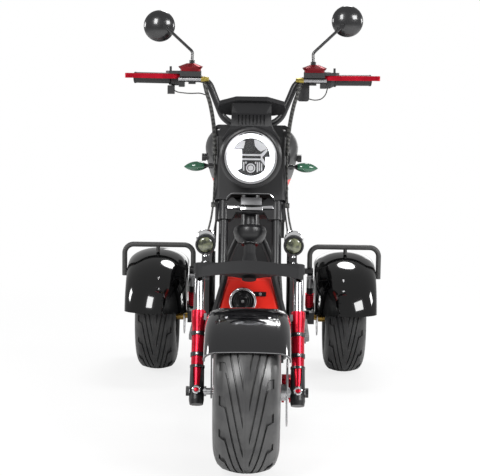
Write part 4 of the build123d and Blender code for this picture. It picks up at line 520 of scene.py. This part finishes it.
def make_tyre(name, body, node, middle, width, radius, rim, crown_drop, rubber):
    """A tyre with its V tread, round the axle through middle."""
    half, pitch, first = width / 2, 2 * math.pi / GROOVES, 1.0 / STEPS_PER_GROOVE
    middle = Vector(middle)
    shape = bmesh.new()
    profile = tyre_profile(half, radius, rim, crown_drop, CROWN_RINGS)
    points = [shape.verts.new(middle + Vector((x, 0, r))) for x, r in profile]
    edges = [shape.edges.new(pair) for pair in zip(points, points[1:])]
    bmesh.ops.spin(shape, geom=points + edges, cent=middle, axis=(1, 0, 0), angle=2 * math.pi,
                   steps=GROOVES * STEPS_PER_GROOVE, use_merge=True)
    shape.verts.ensure_lookup_table()
    strip = {}
    for face in shape.faces:
        centre = face.calc_center_median() - middle
        angle = math.atan2(centre.y, centre.z) % (2 * math.pi)
        strip[face] = (int(angle / pitch * STEPS_PER_GROOVE), centre.x)
    for vert in shape.verts:
        away = vert.co - middle
        angle = math.atan2(away.y, away.z) % (2 * math.pi)
        count, inside = divmod(angle / pitch, 1.0)
        if inside < first - 1e-6:
            inside = inside * GROOVE_SHARE / first
        else:
            inside = GROOVE_SHARE + (inside - first) * (1 - GROOVE_SHARE) / (1 - first)
        offset = tread_twist(abs(away.x), half) + (pitch / 2 if away.x < 0 else 0)
        new_angle = (count + inside) * pitch + offset + TREAD_START
        reach = math.hypot(away.y, away.z)
        vert.co = middle + Vector((away.x, reach * math.sin(new_angle), reach * math.cos(new_angle)))
    grooves = [face for face, (step, x) in strip.items()
               if step % STEPS_PER_GROOVE == 0 and GROOVE_FROM * half < abs(x) < GROOVE_TO * half]
    bmesh.ops.inset_region(shape, faces=grooves, thickness=GROOVE_WALL, depth=0)
    bottoms = {vert for face in grooves for vert in face.verts}
    for vert in bottoms:
        away = vert.co - middle
        reach = math.hypot(away.y, away.z)
        vert.co -= Vector((0, away.y, away.z)) * (GROOVE_DEPTH / reach)
    return make_piece(name, shape, body, rubber, 30, (node,))


# %% [markdown]
# ### The three tyres
# The front tyre is wide and tall, and the two rear ones are smaller and alike. Each is told its
# width, its radius, the radius of its rim and how far the crown drops towards the shoulder.

# %% The three tyres
FRONT_MIDDLE = (0.0, -0.710, 0.240)
make_tyre("front_tread", "front_wheel", "front_tyre", FRONT_MIDDLE, 0.195, 0.2397, 0.152, 0.0145,
          tread_rubber)
for side, name in ((-1, "right"), (1, "left")):
    make_tyre("rear_tread_" + name, "rear_wheel_" + name, "rear_tyre_" + name,
              (side * REAR_X, REAR_Y, REAR_Z), 0.1535, 0.2028, 0.127, 0.011, rear_rubber_painted_shade)

# %% [markdown]
# ## The padded seat
# The CAD seat is a solid with flat sides, and real upholstery is foam under a stretched cover. So
# the solid is turned into an even net of small faces, pulled in a little, and blown up as a cloth
# with pressure and no gravity. How far each point may move is limited, so the seat keeps its shape.
# Channels and border seams are narrower than the net, so they are pressed in afterwards.

# %% Helper that pads a CAD solid
PAD_FRAMES = 20
PAD_PRESSURE = 4.0


def padded_skin(name, node, voxel, shrink, cap):
    """The mesh of a CAD solid, blown up as a cushion and made finer."""
    shape = bmesh.new()
    shape.from_mesh(nodes[node].data)
    bmesh.ops.remove_doubles(shape, verts=shape.verts, dist=0.00005)
    mesh = bpy.data.meshes.new(name + "_start")
    shape.to_mesh(mesh)
    shape.free()
    skin = bpy.data.objects.new(name + "_start", mesh)
    bpy.context.collection.objects.link(skin)
    net = skin.modifiers.new("net", "REMESH")
    net.mode = "VOXEL"
    net.voxel_size = voxel
    view = bpy.context.evaluated_depsgraph_get()
    mesh = bpy.data.meshes.new_from_object(skin.evaluated_get(view))
    skin.modifiers.clear()
    skin.data = mesh
    for vert in mesh.vertices:
        vert.co -= vert.normal * shrink
    start = [vert.co.copy() for vert in mesh.vertices]
    cloth = skin.modifiers.new("cloth", "CLOTH")
    cloth.settings.use_pressure = True
    cloth.settings.uniform_pressure_force = PAD_PRESSURE
    cloth.settings.effector_weights.gravity = 0
    cloth.settings.quality = 4
    cloth.settings.mass = 0.3
    cloth.point_cache.frame_start, cloth.point_cache.frame_end = 1, PAD_FRAMES
    cloth.collision_settings.use_collision = False
    scene = bpy.context.scene
    for step in range(1, PAD_FRAMES + 1):
        scene.frame_set(step)
    view = bpy.context.evaluated_depsgraph_get()
    mesh = bpy.data.meshes.new_from_object(skin.evaluated_get(view))
    scene.frame_set(1)
    shape = bmesh.new()
    shape.from_mesh(mesh)
    shape.verts.ensure_lookup_table()
    furthest = 0.0
    for vert, place in zip(shape.verts, start):
        move = vert.co - place
        furthest = max(furthest, move.length)
        if move.length > cap:
            vert.co = place + move.normalized() * cap
    bpy.data.objects.remove(skin)
    print(name, len(shape.verts), "points, furthest move", round(furthest * 1000, 1), "mm")
    bmesh.ops.subdivide_edges(shape, edges=shape.edges, cuts=1, use_grid_fill=True)
    bmesh.ops.smooth_vert(shape, verts=shape.verts, factor=0.5, use_axis_x=True, use_axis_y=True, use_axis_z=True)
    return shape


def press_seam(shape, distance_to_seam, width, depth):
    """Presses a rounded channel into the skin where it is near a seam."""
    moves = []
    shape.normal_update()
    for vert in shape.verts:
        away = distance_to_seam(vert.co, vert.normal)
        if away < width:
            moves.append((vert, vert.normal.copy(), 0.5 + 0.5 * math.cos(math.pi * away / width)))
    for vert, normal, share in moves:
        vert.co -= normal * depth * share


# %% [markdown]
# ### The seat's channels
# The rider's half has channels across the dip, and the raised half behind it is smooth with one
# channel along each side. A border seam runs round the edge between top and side. A function for
# each kind of seam says how far a point of the skin is from it, and 1 m where there is none.

# %% Seat
SEAM_BELOW_TOP = 0.022
SEAT_TOP_FRONT, SEAT_TOP_REAR = 0.806, 0.832
DIP_FRONT, DIP_REAR = 0.150, 0.400    # the rider's dip, from front to rear
DIP_TOP, DIP_MIDDLE, DIP_CURVE = 0.767, 0.265, 1.55
CHANNEL_PITCH, CHANNEL_START, CHANNEL_REACH = 0.044, 0.168, 0.098
SIDE_CHANNEL_X, NO_SEAM = 0.085, 1.0
skin = padded_skin("seat_cover", "seat", voxel=0.006, shrink=0.005, cap=0.009)


def cross_channel(place, normal):
    """Distance to the nearest cross channel of the rider's half."""
    if normal.z < 0.5 or not 0.155 < place.y < 0.385 or abs(place.x) > CHANNEL_REACH:
        return NO_SEAM
    return abs((place.y - CHANNEL_START) % CHANNEL_PITCH - CHANNEL_PITCH / 2)


def side_channel(place, normal):
    """Distance to the channels along both sides of the rear half."""
    if normal.z < 0.4 or place.y < DIP_REAR:
        return NO_SEAM
    return abs(abs(place.x) - SIDE_CHANNEL_X + 0.03 * max(0.0, place.y - 0.60))


def border_seam(place, normal):
    """Distance to the seam that joins the top to the sides."""
    if normal.z > 0.75 or normal.z < -0.4:
        return NO_SEAM
    top = SEAT_TOP_FRONT if place.y < DIP_FRONT else SEAT_TOP_REAR
    if DIP_FRONT <= place.y < DIP_REAR:
        top = DIP_TOP + DIP_CURVE * (place.y - DIP_MIDDLE) ** 2
    return abs(place.z - (top - SEAM_BELOW_TOP))


press_seam(skin, cross_channel, 0.009, 0.0045)
press_seam(skin, side_channel, 0.008, 0.0035)
press_seam(skin, border_seam, 0.0055, 0.0030)
seat_cover = make_piece("seat_cover", skin, "frame", leather, 60, ("seat",))

# %% [markdown]
# ### The backrest's cover
# The pad in the hoop behind the seat is small, so its net is finer. It is blown up in the same way
# and then gets two upright channels on its front and one seam round its edge.

# %% Backrest pad
skin = padded_skin("backrest_cover", "backrest_pad", voxel=0.004, shrink=0.004, cap=0.008)
pad_low, pad_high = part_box("backrest_pad")
pad_middle = (Vector(pad_low) + Vector(pad_high)) / 2
PAD_CHANNEL_X, PAD_LEAN = 0.032, 0.12


def pad_channels(place, normal):
    """Distance to the two upright channels on the face towards the rider."""
    if normal.y > -0.5:
        return NO_SEAM
    return abs(abs(place.x) - PAD_CHANNEL_X)


def pad_border(place, normal):
    """Distance to the seam round the pad, half way through its thickness."""
    if abs(normal.y) > 0.6:
        return NO_SEAM
    lean = PAD_LEAN * (place.z - pad_middle.z)
    return abs(place.y - pad_middle.y - lean - 0.004)


press_seam(skin, pad_channels, 0.007, 0.003)
press_seam(skin, pad_border, 0.004, 0.002)
backrest_cover = make_piece("backrest_cover", skin, "frame", leather, 60, ("backrest_pad",))

# %% [markdown]
# ## Bolts
# Small fasteners give the eye a sense of scale. They are too many and too small to be CAD parts, so
# each body gets one object that holds all its bolts. One helper makes a cap bolt: a short cylinder
# with a bevelled head and a sunk socket, turned so that its head looks along a given direction.

# %% Helper for bolts
def add_bolt(shape, place, direction, radius, height, sides):
    """A bolt head with a sunk socket that stands on a surface at place."""
    made = bmesh.ops.create_cone(shape, cap_ends=True, cap_tris=False, segments=sides, radius1=radius,
                                 radius2=radius, depth=height + 0.002)
    verts = made["verts"]
    bmesh.ops.translate(shape, verts=verts, vec=(0, 0, height / 2 - 0.001))
    top = [face for face in {f for v in verts for f in v.link_faces} if face.normal.z > 0.9]
    made = bmesh.ops.bevel(shape, geom=list(top[0].edges), offset=radius * 0.18, segments=2, profile=0.5,
                           affect="EDGES", material=-1)
    verts = list({vert for vert in verts if vert.is_valid} | set(made["verts"]))
    top = max((f for v in verts for f in v.link_faces), key=lambda f: f.calc_center_median().z)
    inner = bmesh.ops.inset_individual(shape, faces=[top], thickness=radius * 0.42, depth=0)
    sunk = bmesh.ops.inset_individual(shape, faces=[top], thickness=radius * 0.02, depth=-height * 0.5)
    verts = list(set(verts) | {v for f in inner["faces"] + sunk["faces"] + [top] for v in f.verts})
    turn = Vector(direction).normalized().to_track_quat("Z", "Y").to_matrix().to_4x4()
    bmesh.ops.transform(shape, matrix=Matrix.Translation(place) @ turn, verts=verts)


def bolt_group(name, body, rows, material=steel):
    """One object with a bolt for every row of place, direction, radius, height and sides."""
    shape = bmesh.new()
    for place, direction, radius, height, sides in rows:
        add_bolt(shape, place, direction, radius, height, sides)
    make_piece(name, shape, body, material, 40)


# %% [markdown]
# ### Directions of the fork
# The fork leans back by its rake, so places on it are easier to say in its own directions: across,
# back, and up along the steering axis. One function turns such a place into a place in the world.

# %% The fork's own directions
RAKE = math.radians(26)
HEAD_Y = -0.78255                     # where the steering axis meets the ground
UP_FORK = Vector((0, math.sin(RAKE), math.cos(RAKE)))
AHEAD_FORK = Vector((0, -math.cos(RAKE), math.sin(RAKE)))
LEG_X, LEG_BACK = 0.1495, -0.040


def on_fork(x, back, up):
    """World place of a point given across, back and up along the steering axis."""
    return Vector((x, HEAD_Y, 0)) - AHEAD_FORK * back + UP_FORK * up


# %% [markdown]
# ### Bolts on the steering parts
# Each band round a fork leg has a bolt in front. Each end of the fork's crown has two, of different
# size, and two hex bolts look down from under it. One more sits on each side of the front fender.

# %% Bolts on the steering parts
LEG_BANDS_UP, CROWN_BOLT_X = (0.421, 0.357), 0.134
rows = []
for side in (-1, 1):
    for up in LEG_BANDS_UP:
        rows.append((on_fork(side * LEG_X, LEG_BACK - 0.0212, up), AHEAD_FORK, 0.0042, 0.004, 12))
    rows.append((on_fork(side * CROWN_BOLT_X, LEG_BACK - 0.0085, 0.664), AHEAD_FORK, 0.0048, 0.0035, 12))
    rows.append((on_fork(side * CROWN_BOLT_X, LEG_BACK - 0.0125, 0.644), AHEAD_FORK, 0.0040, 0.003, 6))
    rows.append((on_fork(side * 0.0845, -0.046, 0.612), -UP_FORK, 0.0058, 0.005, 6))
    rows.append((Vector((side * 0.062, -0.7804, 0.4776)), Vector((0, -0.284, 0.959)), 0.0042, 0.003, 12))
bolt_group("steering_bolts", "steering", rows, chrome)

# %% [markdown]
# ### Collars round the fork legs
# A thin black collar goes round each red leg, above the open slot of its foot. Rings, collars and
# domes are all round, so one helper takes their section, as pairs of radius and height, and spins it.

# %% Helper for a round piece made by spinning
def spun(shape, middle, axis, sideways, profile, steps=32):
    """Spins (radius, height) pairs round an axis through middle."""
    axis, sideways, middle = Vector(axis), Vector(sideways), Vector(middle)
    points = [shape.verts.new(middle + sideways * r + axis * h) for r, h in profile]
    edges = [shape.edges.new(pair) for pair in zip(points, points[1:])]
    bmesh.ops.spin(shape, geom=points + edges, cent=middle, axis=axis, angle=2 * math.pi, steps=steps,
                   use_merge=True)


FORWARD, SIDE = (0, -1, 0), (1, 0, 0)

# %% Collars above the slots of the fork feet
COLLAR_UP, COLLAR_HIGH = 0.3165, 0.0085
COLLAR_R, LEG_R, COLLAR_EDGE = 0.0224, 0.0185, 0.001
collar = [(LEG_R, 0.0), (COLLAR_R - COLLAR_EDGE, 0.0), (COLLAR_R, COLLAR_EDGE), (COLLAR_R, 0.0075),
          (COLLAR_R - COLLAR_EDGE, COLLAR_HIGH), (LEG_R, COLLAR_HIGH)]
shape = bmesh.new()
for side in (-1, 1):
    spun(shape, on_fork(side * LEG_X, LEG_BACK, COLLAR_UP), UP_FORK, SIDE, collar, 40)
make_piece("leg_collars", shape, "steering", polished_plastic, 40)

# %% [markdown]
# ### Bolts on the wheels
# Six small hex bolts stand in a ring on one face of the front hub, and five on the outer face of
# each rear hub. They turn with their wheel, so they ride on the wheel's body.

# %% Bolts on the wheels
def ring_of_bolts(middle, x, ring, count, direction, radius, height):
    """Rows for bolts in a ring round an axle."""
    found = []
    for step in range(count):
        angle = 2 * math.pi * (step + 0.5) / count
        place = Vector((x, middle[1] + ring * math.sin(angle), middle[2] + ring * math.cos(angle)))
        found.append((place, direction, radius, height, 6))
    return found


HUB_FACE_FRONT, HUB_FACE_REAR = 0.098, 0.062    # from the middle of the wheel
rows = ring_of_bolts(FRONT_MIDDLE, -HUB_FACE_FRONT, 0.029, 6, (-1, 0, 0), 0.0036, 0.003)
bolt_group("front_wheel_bolts", "front_wheel", rows)
for side, name in ((-1, "right"), (1, "left")):
    face = side * (REAR_X + HUB_FACE_REAR)
    rows = ring_of_bolts((0, REAR_Y, REAR_Z), face, 0.0275, 5, (side, 0, 0), 0.0034, 0.003)
    bolt_group("rear_wheel_bolts_" + name, "rear_wheel_" + name, rows)

# %% [markdown]
# ### Cap bolts of the fork feet
# A large round bolt faces forward on each foot: a red head in a bright ring. The ring and the head
# have different finishes, so they are two pieces.

# %% Cap bolts at the fork feet
FOOT_CAP_BACK, FOOT_CAP_UP = -0.0674, 0.24651
foot_ring = [(0.0064, 0.0), (0.0064, 0.0012), (0.0075, 0.0024), (0.0108, 0.0024), (0.0122, 0.0010), (0.0122, 0.0)]
rings, heads = bmesh.new(), bmesh.new()
for side in (-1, 1):
    middle = on_fork(side * LEG_X, FOOT_CAP_BACK, FOOT_CAP_UP)
    spun(rings, middle, AHEAD_FORK, SIDE, foot_ring)
    add_bolt(heads, middle, AHEAD_FORK, 0.0062, 0.0022, 24)
make_piece("foot_rings", rings, "steering", chrome, 40)
make_piece("foot_caps", heads, "steering", anodised, 40)

# %% [markdown]
# ## Lamps
# The two round lamps beside the fork have a domed glass of an olive tint. A dome could be a circle
# that is inset again and again and lifted a little each time. Spinning an arc does it in one step.

# %% Domed glass
AUX_X, AUX_Y, AUX_Z = 0.134, -0.530, 0.651
GLASS_R, GLASS_RISE, GLASS_BACK = 0.0236, 0.0065, -0.0018
dome = [(GLASS_R * math.sin(math.radians(a)), GLASS_BACK + GLASS_RISE * math.cos(math.radians(a)))
        for a in range(90, 0, -10)]
dome = [(0.0, GLASS_BACK)] + dome + [(0.0, GLASS_BACK + GLASS_RISE)]
shape = bmesh.new()
for side in (-1, 1):
    spun(shape, (side * AUX_X, AUX_Y, AUX_Z), FORWARD, SIDE, dome)
make_piece("aux_glass", shape, "steering", smoked_glass, 50)

# %% [markdown]
# ## Trim under the headlight
# The shroud ends above the lower yoke in a rounded opening with a bright edge. Behind the edge sit a
# grey bracket and a bright strip. The edge is a thin tube, so it is a curve with a round bevel, made
# into a mesh. The strip and the bracket are bevelled plates.

# %% Helpers for a plate and a thin tube
def plate(shape, middle, half, turn, bevel=0.0006):
    """A bevelled block round middle with three half sizes, turned by a matrix."""
    made = bmesh.ops.create_cube(shape, size=2.0)
    verts = made["verts"]
    bmesh.ops.scale(shape, verts=verts, vec=half)
    edges = list({edge for vert in verts for edge in vert.link_edges})
    made = bmesh.ops.bevel(shape, geom=edges, offset=bevel, segments=2, profile=0.5, affect="EDGES", material=-1)
    verts = list({vert for face in made["faces"] for vert in face.verts} | {v for v in verts if v.is_valid})
    bmesh.ops.transform(shape, matrix=Matrix.Translation(middle) @ turn.to_4x4(), verts=verts)


def thin_tube(shape, points, radius, steps=8):
    """A round tube through the points, added to shape."""
    curve = bpy.data.curves.new("tube", "CURVE")
    curve.dimensions = "3D"
    curve.bevel_depth = radius
    curve.bevel_resolution = 2
    curve.use_fill_caps = True
    spline = curve.splines.new("NURBS")
    spline.points.add(len(points) - 1)
    for point, place in zip(spline.points, points):
        point.co = (*place, 1)
    spline.order_u = 3
    spline.use_endpoint_u = True
    spline.resolution_u = steps
    holder = bpy.data.objects.new("tube", curve)
    bpy.context.collection.objects.link(holder)
    mesh = bpy.data.meshes.new_from_object(holder.evaluated_get(bpy.context.evaluated_depsgraph_get()))
    shape.from_mesh(mesh)
    bpy.data.objects.remove(holder)


FORK_TURN = Matrix((Vector((1, 0, 0)), -AHEAD_FORK, UP_FORK)).transposed()

# %% Bright edge, bracket and strip
EDGE_BACK, EDGE_RADIUS = -0.0668, 0.0011
shape = bmesh.new()
edge = [(-0.073, 0.838), (-0.0725, 0.846), (-0.066, 0.8535), (-0.058, 0.8595), (-0.048, 0.8605), (0, 0.8605),
        (0.048, 0.8605), (0.058, 0.8595), (0.066, 0.8535), (0.0725, 0.846), (0.073, 0.838)]
thin_tube(shape, [on_fork(x, EDGE_BACK, up) for x, up in edge], EDGE_RADIUS)
plate(shape, on_fork(0.0, -0.0655, 0.8165), Vector((0.070, 0.0015, 0.0045)), FORK_TURN)
plate(shape, on_fork(0.004, -0.0675, 0.8125), Vector((0.034, 0.0020, 0.0065)), FORK_TURN)
make_piece("shroud_edge", shape, "steering", chrome, 40)
shape = bmesh.new()
plate(shape, on_fork(0.003, -0.060, 0.836), Vector((0.032, 0.004, 0.0125)), FORK_TURN, 0.002)
make_piece("lamp_bracket", shape, "steering", cast_grey, 40)

# %% [markdown]
# ## The rolled edge of the front fender
# Sheet fenders end in a rolled edge that catches the light as one thin line. Here the edge is a thin
# tube of bright chrome, a painted highlight that stands for that line on the black lacquer. It
# follows the fender's section: a wide arc over the crown, two tight arcs at the corners, two short
# sides. The section is given as places across and radii from the axle, and it stands at the edge's
# own angle.

# %% Rolled edge
EDGE_ANGLE, ROLL_RADIUS = math.radians(40.4), 0.0013


def arc_points(first, through, last, steps):
    """Points of the circle arc from first to last by way of through, in a plane."""
    (ax, ay), (bx, by), (cx, cy) = first, through, last
    cross = 2 * (ax * (by - cy) + bx * (cy - ay) + cx * (ay - by))
    a2, b2, c2 = ax * ax + ay * ay, bx * bx + by * by, cx * cx + cy * cy
    mx = (a2 * (by - cy) + b2 * (cy - ay) + c2 * (ay - by)) / cross
    my = (a2 * (cx - bx) + b2 * (ax - cx) + c2 * (bx - ax)) / cross
    start, end = math.atan2(ay - my, ax - mx), math.atan2(cy - my, cx - mx)
    reach = math.hypot(ax - mx, ay - my)
    angles = [start + (end - start) * step / steps for step in range(steps + 1)]
    return [(mx + reach * math.cos(angle), my + reach * math.sin(angle)) for angle in angles]


section = [(-0.125, 0.194)] + arc_points((-0.125, 0.208), (-0.1125, 0.2345), (-0.081, 0.2465), 8)
section += arc_points((-0.081, 0.2465), (0, 0.250), (0.081, 0.2465), 16)[1:]
section += arc_points((0.081, 0.2465), (0.1125, 0.2345), (0.125, 0.208), 8)[1:] + [(0.125, 0.194)]
shape = bmesh.new()
thin_tube(shape, [Vector(FRONT_MIDDLE) + Vector((x, -r * math.cos(EDGE_ANGLE), r * math.sin(EDGE_ANGLE)))
                  for x, r in section], ROLL_RADIUS, 3)
# The tube wears bright chrome rather than the fender's lacquer, so it is a painted highlight line.
make_piece("fender_edge_painted_highlight", shape, "steering", polished_chrome, 40)

# %% [markdown]
# ## The horn's face, and the bolts on the frame
# The horn faces forward, low behind the fork. It has a bright rolled rim and a black face with rings
# pressed into it. The rim's section is most of a circle, the face's is a wave, and both are spun.
# The frame's bolts sit on the horn and its bracket, on the sides and on the rear fenders.

# %% Horn rim and face
HORN = Vector((-0.020, -0.366, 0.452))
RIM_R, RIM_FRONT, RIM_ROLL = 0.0395, 0.0235, 0.0038
FACE_R, FACE_WIDE, FACE_FRONT, FACE_BACK, RIPPLE = 0.0130, 0.021, 0.0180, 0.0165, 0.0012
shape = bmesh.new()
tube = [(RIM_R + RIM_ROLL * math.cos(math.radians(a)), RIM_FRONT + RIM_ROLL * math.sin(math.radians(a)))
        for a in range(-30, 211, 24)]
spun(shape, HORN, FORWARD, SIDE, tube, 48)
make_piece("horn_rim", shape, "frame", chrome, 60)
shape = bmesh.new()
ripple = [(FACE_R + FACE_WIDE * step / 24, FACE_FRONT + RIPPLE * math.sin(math.pi * step / 4))
          for step in range(25)]
spun(shape, HORN, FORWARD, SIDE, [(ripple[0][0], FACE_BACK)] + ripple + [(ripple[-1][0], FACE_BACK)], 48)
make_piece("horn_cone", shape, "frame", polished_plastic, 40)

# %% Bolts on the frame
SIDE_BOLTS = (-0.25, 0.30), (-0.25, 0.47), (0.24, 0.30), (0.24, 0.47)
rows = [(HORN + Vector((0, -0.0240, 0)), FORWARD, 0.0048, 0.004, 6),
        (Vector((0.034, -0.360, 0.470)), FORWARD, 0.0052, 0.004, 6)]
for side in (-1, 1):
    for y, z in SIDE_BOLTS:
        rows.append((Vector((side * 0.1438, y, z)), (side, 0, 0), 0.006, 0.003, 12))
    rows.append((Vector((side * 0.339, 0.431, 0.378)), Vector((0, -0.733, 0.680)), 0.0045, 0.003, 12))
bolt_group("frame_bolts", "frame", rows)

# %% [markdown]
# ## Floor and light
# The vehicle stands in a white studio. To the camera the floor is as white as the world behind it,
# apart from the soft shadow near the wheels. So its material mixes a lit surface with a plain white
# that only the camera sees, and the share of white grows with the distance from the middle.

# %% Floor
WHITE_NEAR, WHITE_FAR = 0.80, 1.0     # the share of plain white
NEAR, FAR = 1.2, 2.6                  # how far from the middle it has those shares
floor_shape = bmesh.new()
bmesh.ops.create_grid(floor_shape, x_segments=1, y_segments=1, size=60.0)
floor_mesh = bpy.data.meshes.new("floor")
floor_shape.to_mesh(floor_mesh)
floor_shape.free()
floor = bpy.data.objects.new("floor", floor_mesh)
bpy.context.collection.objects.link(floor)
floor_material, shader = new_shader("floor_white", (0.86, 0.86, 0.86), 0.9)
length = add_node(floor_material, "ShaderNodeVectorMath")
length.operation = "LENGTH"
join(floor_material, object_place(floor_material), length.inputs[0])
share = add_node(floor_material, "ShaderNodeMapRange", Value=length.outputs["Value"], From_Min=NEAR, From_Max=FAR,
                 To_Min=WHITE_NEAR, To_Max=WHITE_FAR)
ray = add_node(floor_material, "ShaderNodeLightPath")
only_seen = add_node(floor_material, "ShaderNodeMath")
only_seen.operation = "MULTIPLY"
join(floor_material, share.outputs["Result"], only_seen.inputs[0])
join(floor_material, ray.outputs["Is Camera Ray"], only_seen.inputs[1])
white = add_node(floor_material, "ShaderNodeEmission", Color=(1, 1, 1, 1), Strength=1.0)
mix = add_node(floor_material, "ShaderNodeMixShader")
join(floor_material, only_seen.outputs["Value"], mix.inputs["Fac"])
join(floor_material, shader.outputs["BSDF"], mix.inputs[1])
join(floor_material, white.outputs["Emission"], mix.inputs[2])
join(floor_material, mix.outputs["Shader"], floor_material.node_tree.nodes["Material Output"].inputs["Surface"])
wear(floor, floor_material)

# %% [markdown]
# ### World and lamps
# Two soft boxes of different size stand in front, and an oval one hangs high behind. They give black
# lacquer its crisp white patches. Two small boxes at the sides and a dim one at the rear outline the
# rest. The world has three strengths: a dim fill that leaves black black, one that gloss and metal
# reflect, and the plain white that the camera sees, directly or through clear glass.

# %% World and lamps
FILL, IN_METAL, SEEN_WHITE = 0.42, 0.40, 1.0
world = bpy.data.worlds.new("studio")
world.use_nodes = True
bpy.context.scene.world = world
world_nodes = world.node_tree


def world_light(strength):
    """One white background of a given strength."""
    light = world_nodes.nodes.new("ShaderNodeBackground")
    light.inputs["Color"].default_value = (1, 1, 1, 1)
    light.inputs["Strength"].default_value = strength
    return light.outputs["Background"]


def chosen(factor, first, second):
    """The second shader where factor is 1, else the first."""
    choose = world_nodes.nodes.new("ShaderNodeMixShader")
    world_nodes.links.new(factor, choose.inputs["Fac"])
    world_nodes.links.new(first, choose.inputs[1])
    world_nodes.links.new(second, choose.inputs[2])
    return choose.outputs["Shader"]


path = world_nodes.nodes.new("ShaderNodeLightPath").outputs
lit = chosen(path["Is Glossy Ray"], world_light(FILL), world_light(IN_METAL))
lit = chosen(path["Is Transmission Ray"], lit, world_light(SEEN_WHITE))
lit = chosen(path["Is Camera Ray"], lit, world_light(SEEN_WHITE))
world_nodes.links.new(lit, world_nodes.nodes["World Output"].inputs["Surface"])


def area_lamp(name, place, target, width, height, power, shape="RECTANGLE"):
    """A soft lamp that looks at a point."""
    data = bpy.data.lights.new(name, "AREA")
    data.shape = shape
    data.size, data.size_y = width, height
    data.energy = power
    lamp = bpy.data.objects.new(name, data)
    lamp.location = place
    lamp.rotation_euler = (Vector(target) - Vector(place)).to_track_quat("-Z", "Y").to_euler()
    bpy.context.collection.objects.link(lamp)


area_lamp("key_left", (2.60, -3.0, 2.55), (0, 0, 0.6), 1.6, 1.2, 96)
area_lamp("key_right", (-1.40, -3.3, 2.65), (0, 0, 0.6), 0.9, 1.5, 72)
area_lamp("overhead", (0.60, 1.95, 4.2), (0.1, 0.1, 0.5), 1.7, 1.3, 90, "ELLIPSE")
area_lamp("strip_left", (2.9, 0.2, 1.45), (0, 0, 0.6), 0.5, 0.7, 24)
area_lamp("strip_right", (-2.9, 0.2, 1.45), (0, 0, 0.6), 0.5, 0.7, 24)
area_lamp("rear", (0.5, 3.4, 0.95), (0, 0.3, 0.6), 1.8, 1.0, 8)
bpy.context.scene.view_settings.view_transform = "Standard"
print("studio lit")
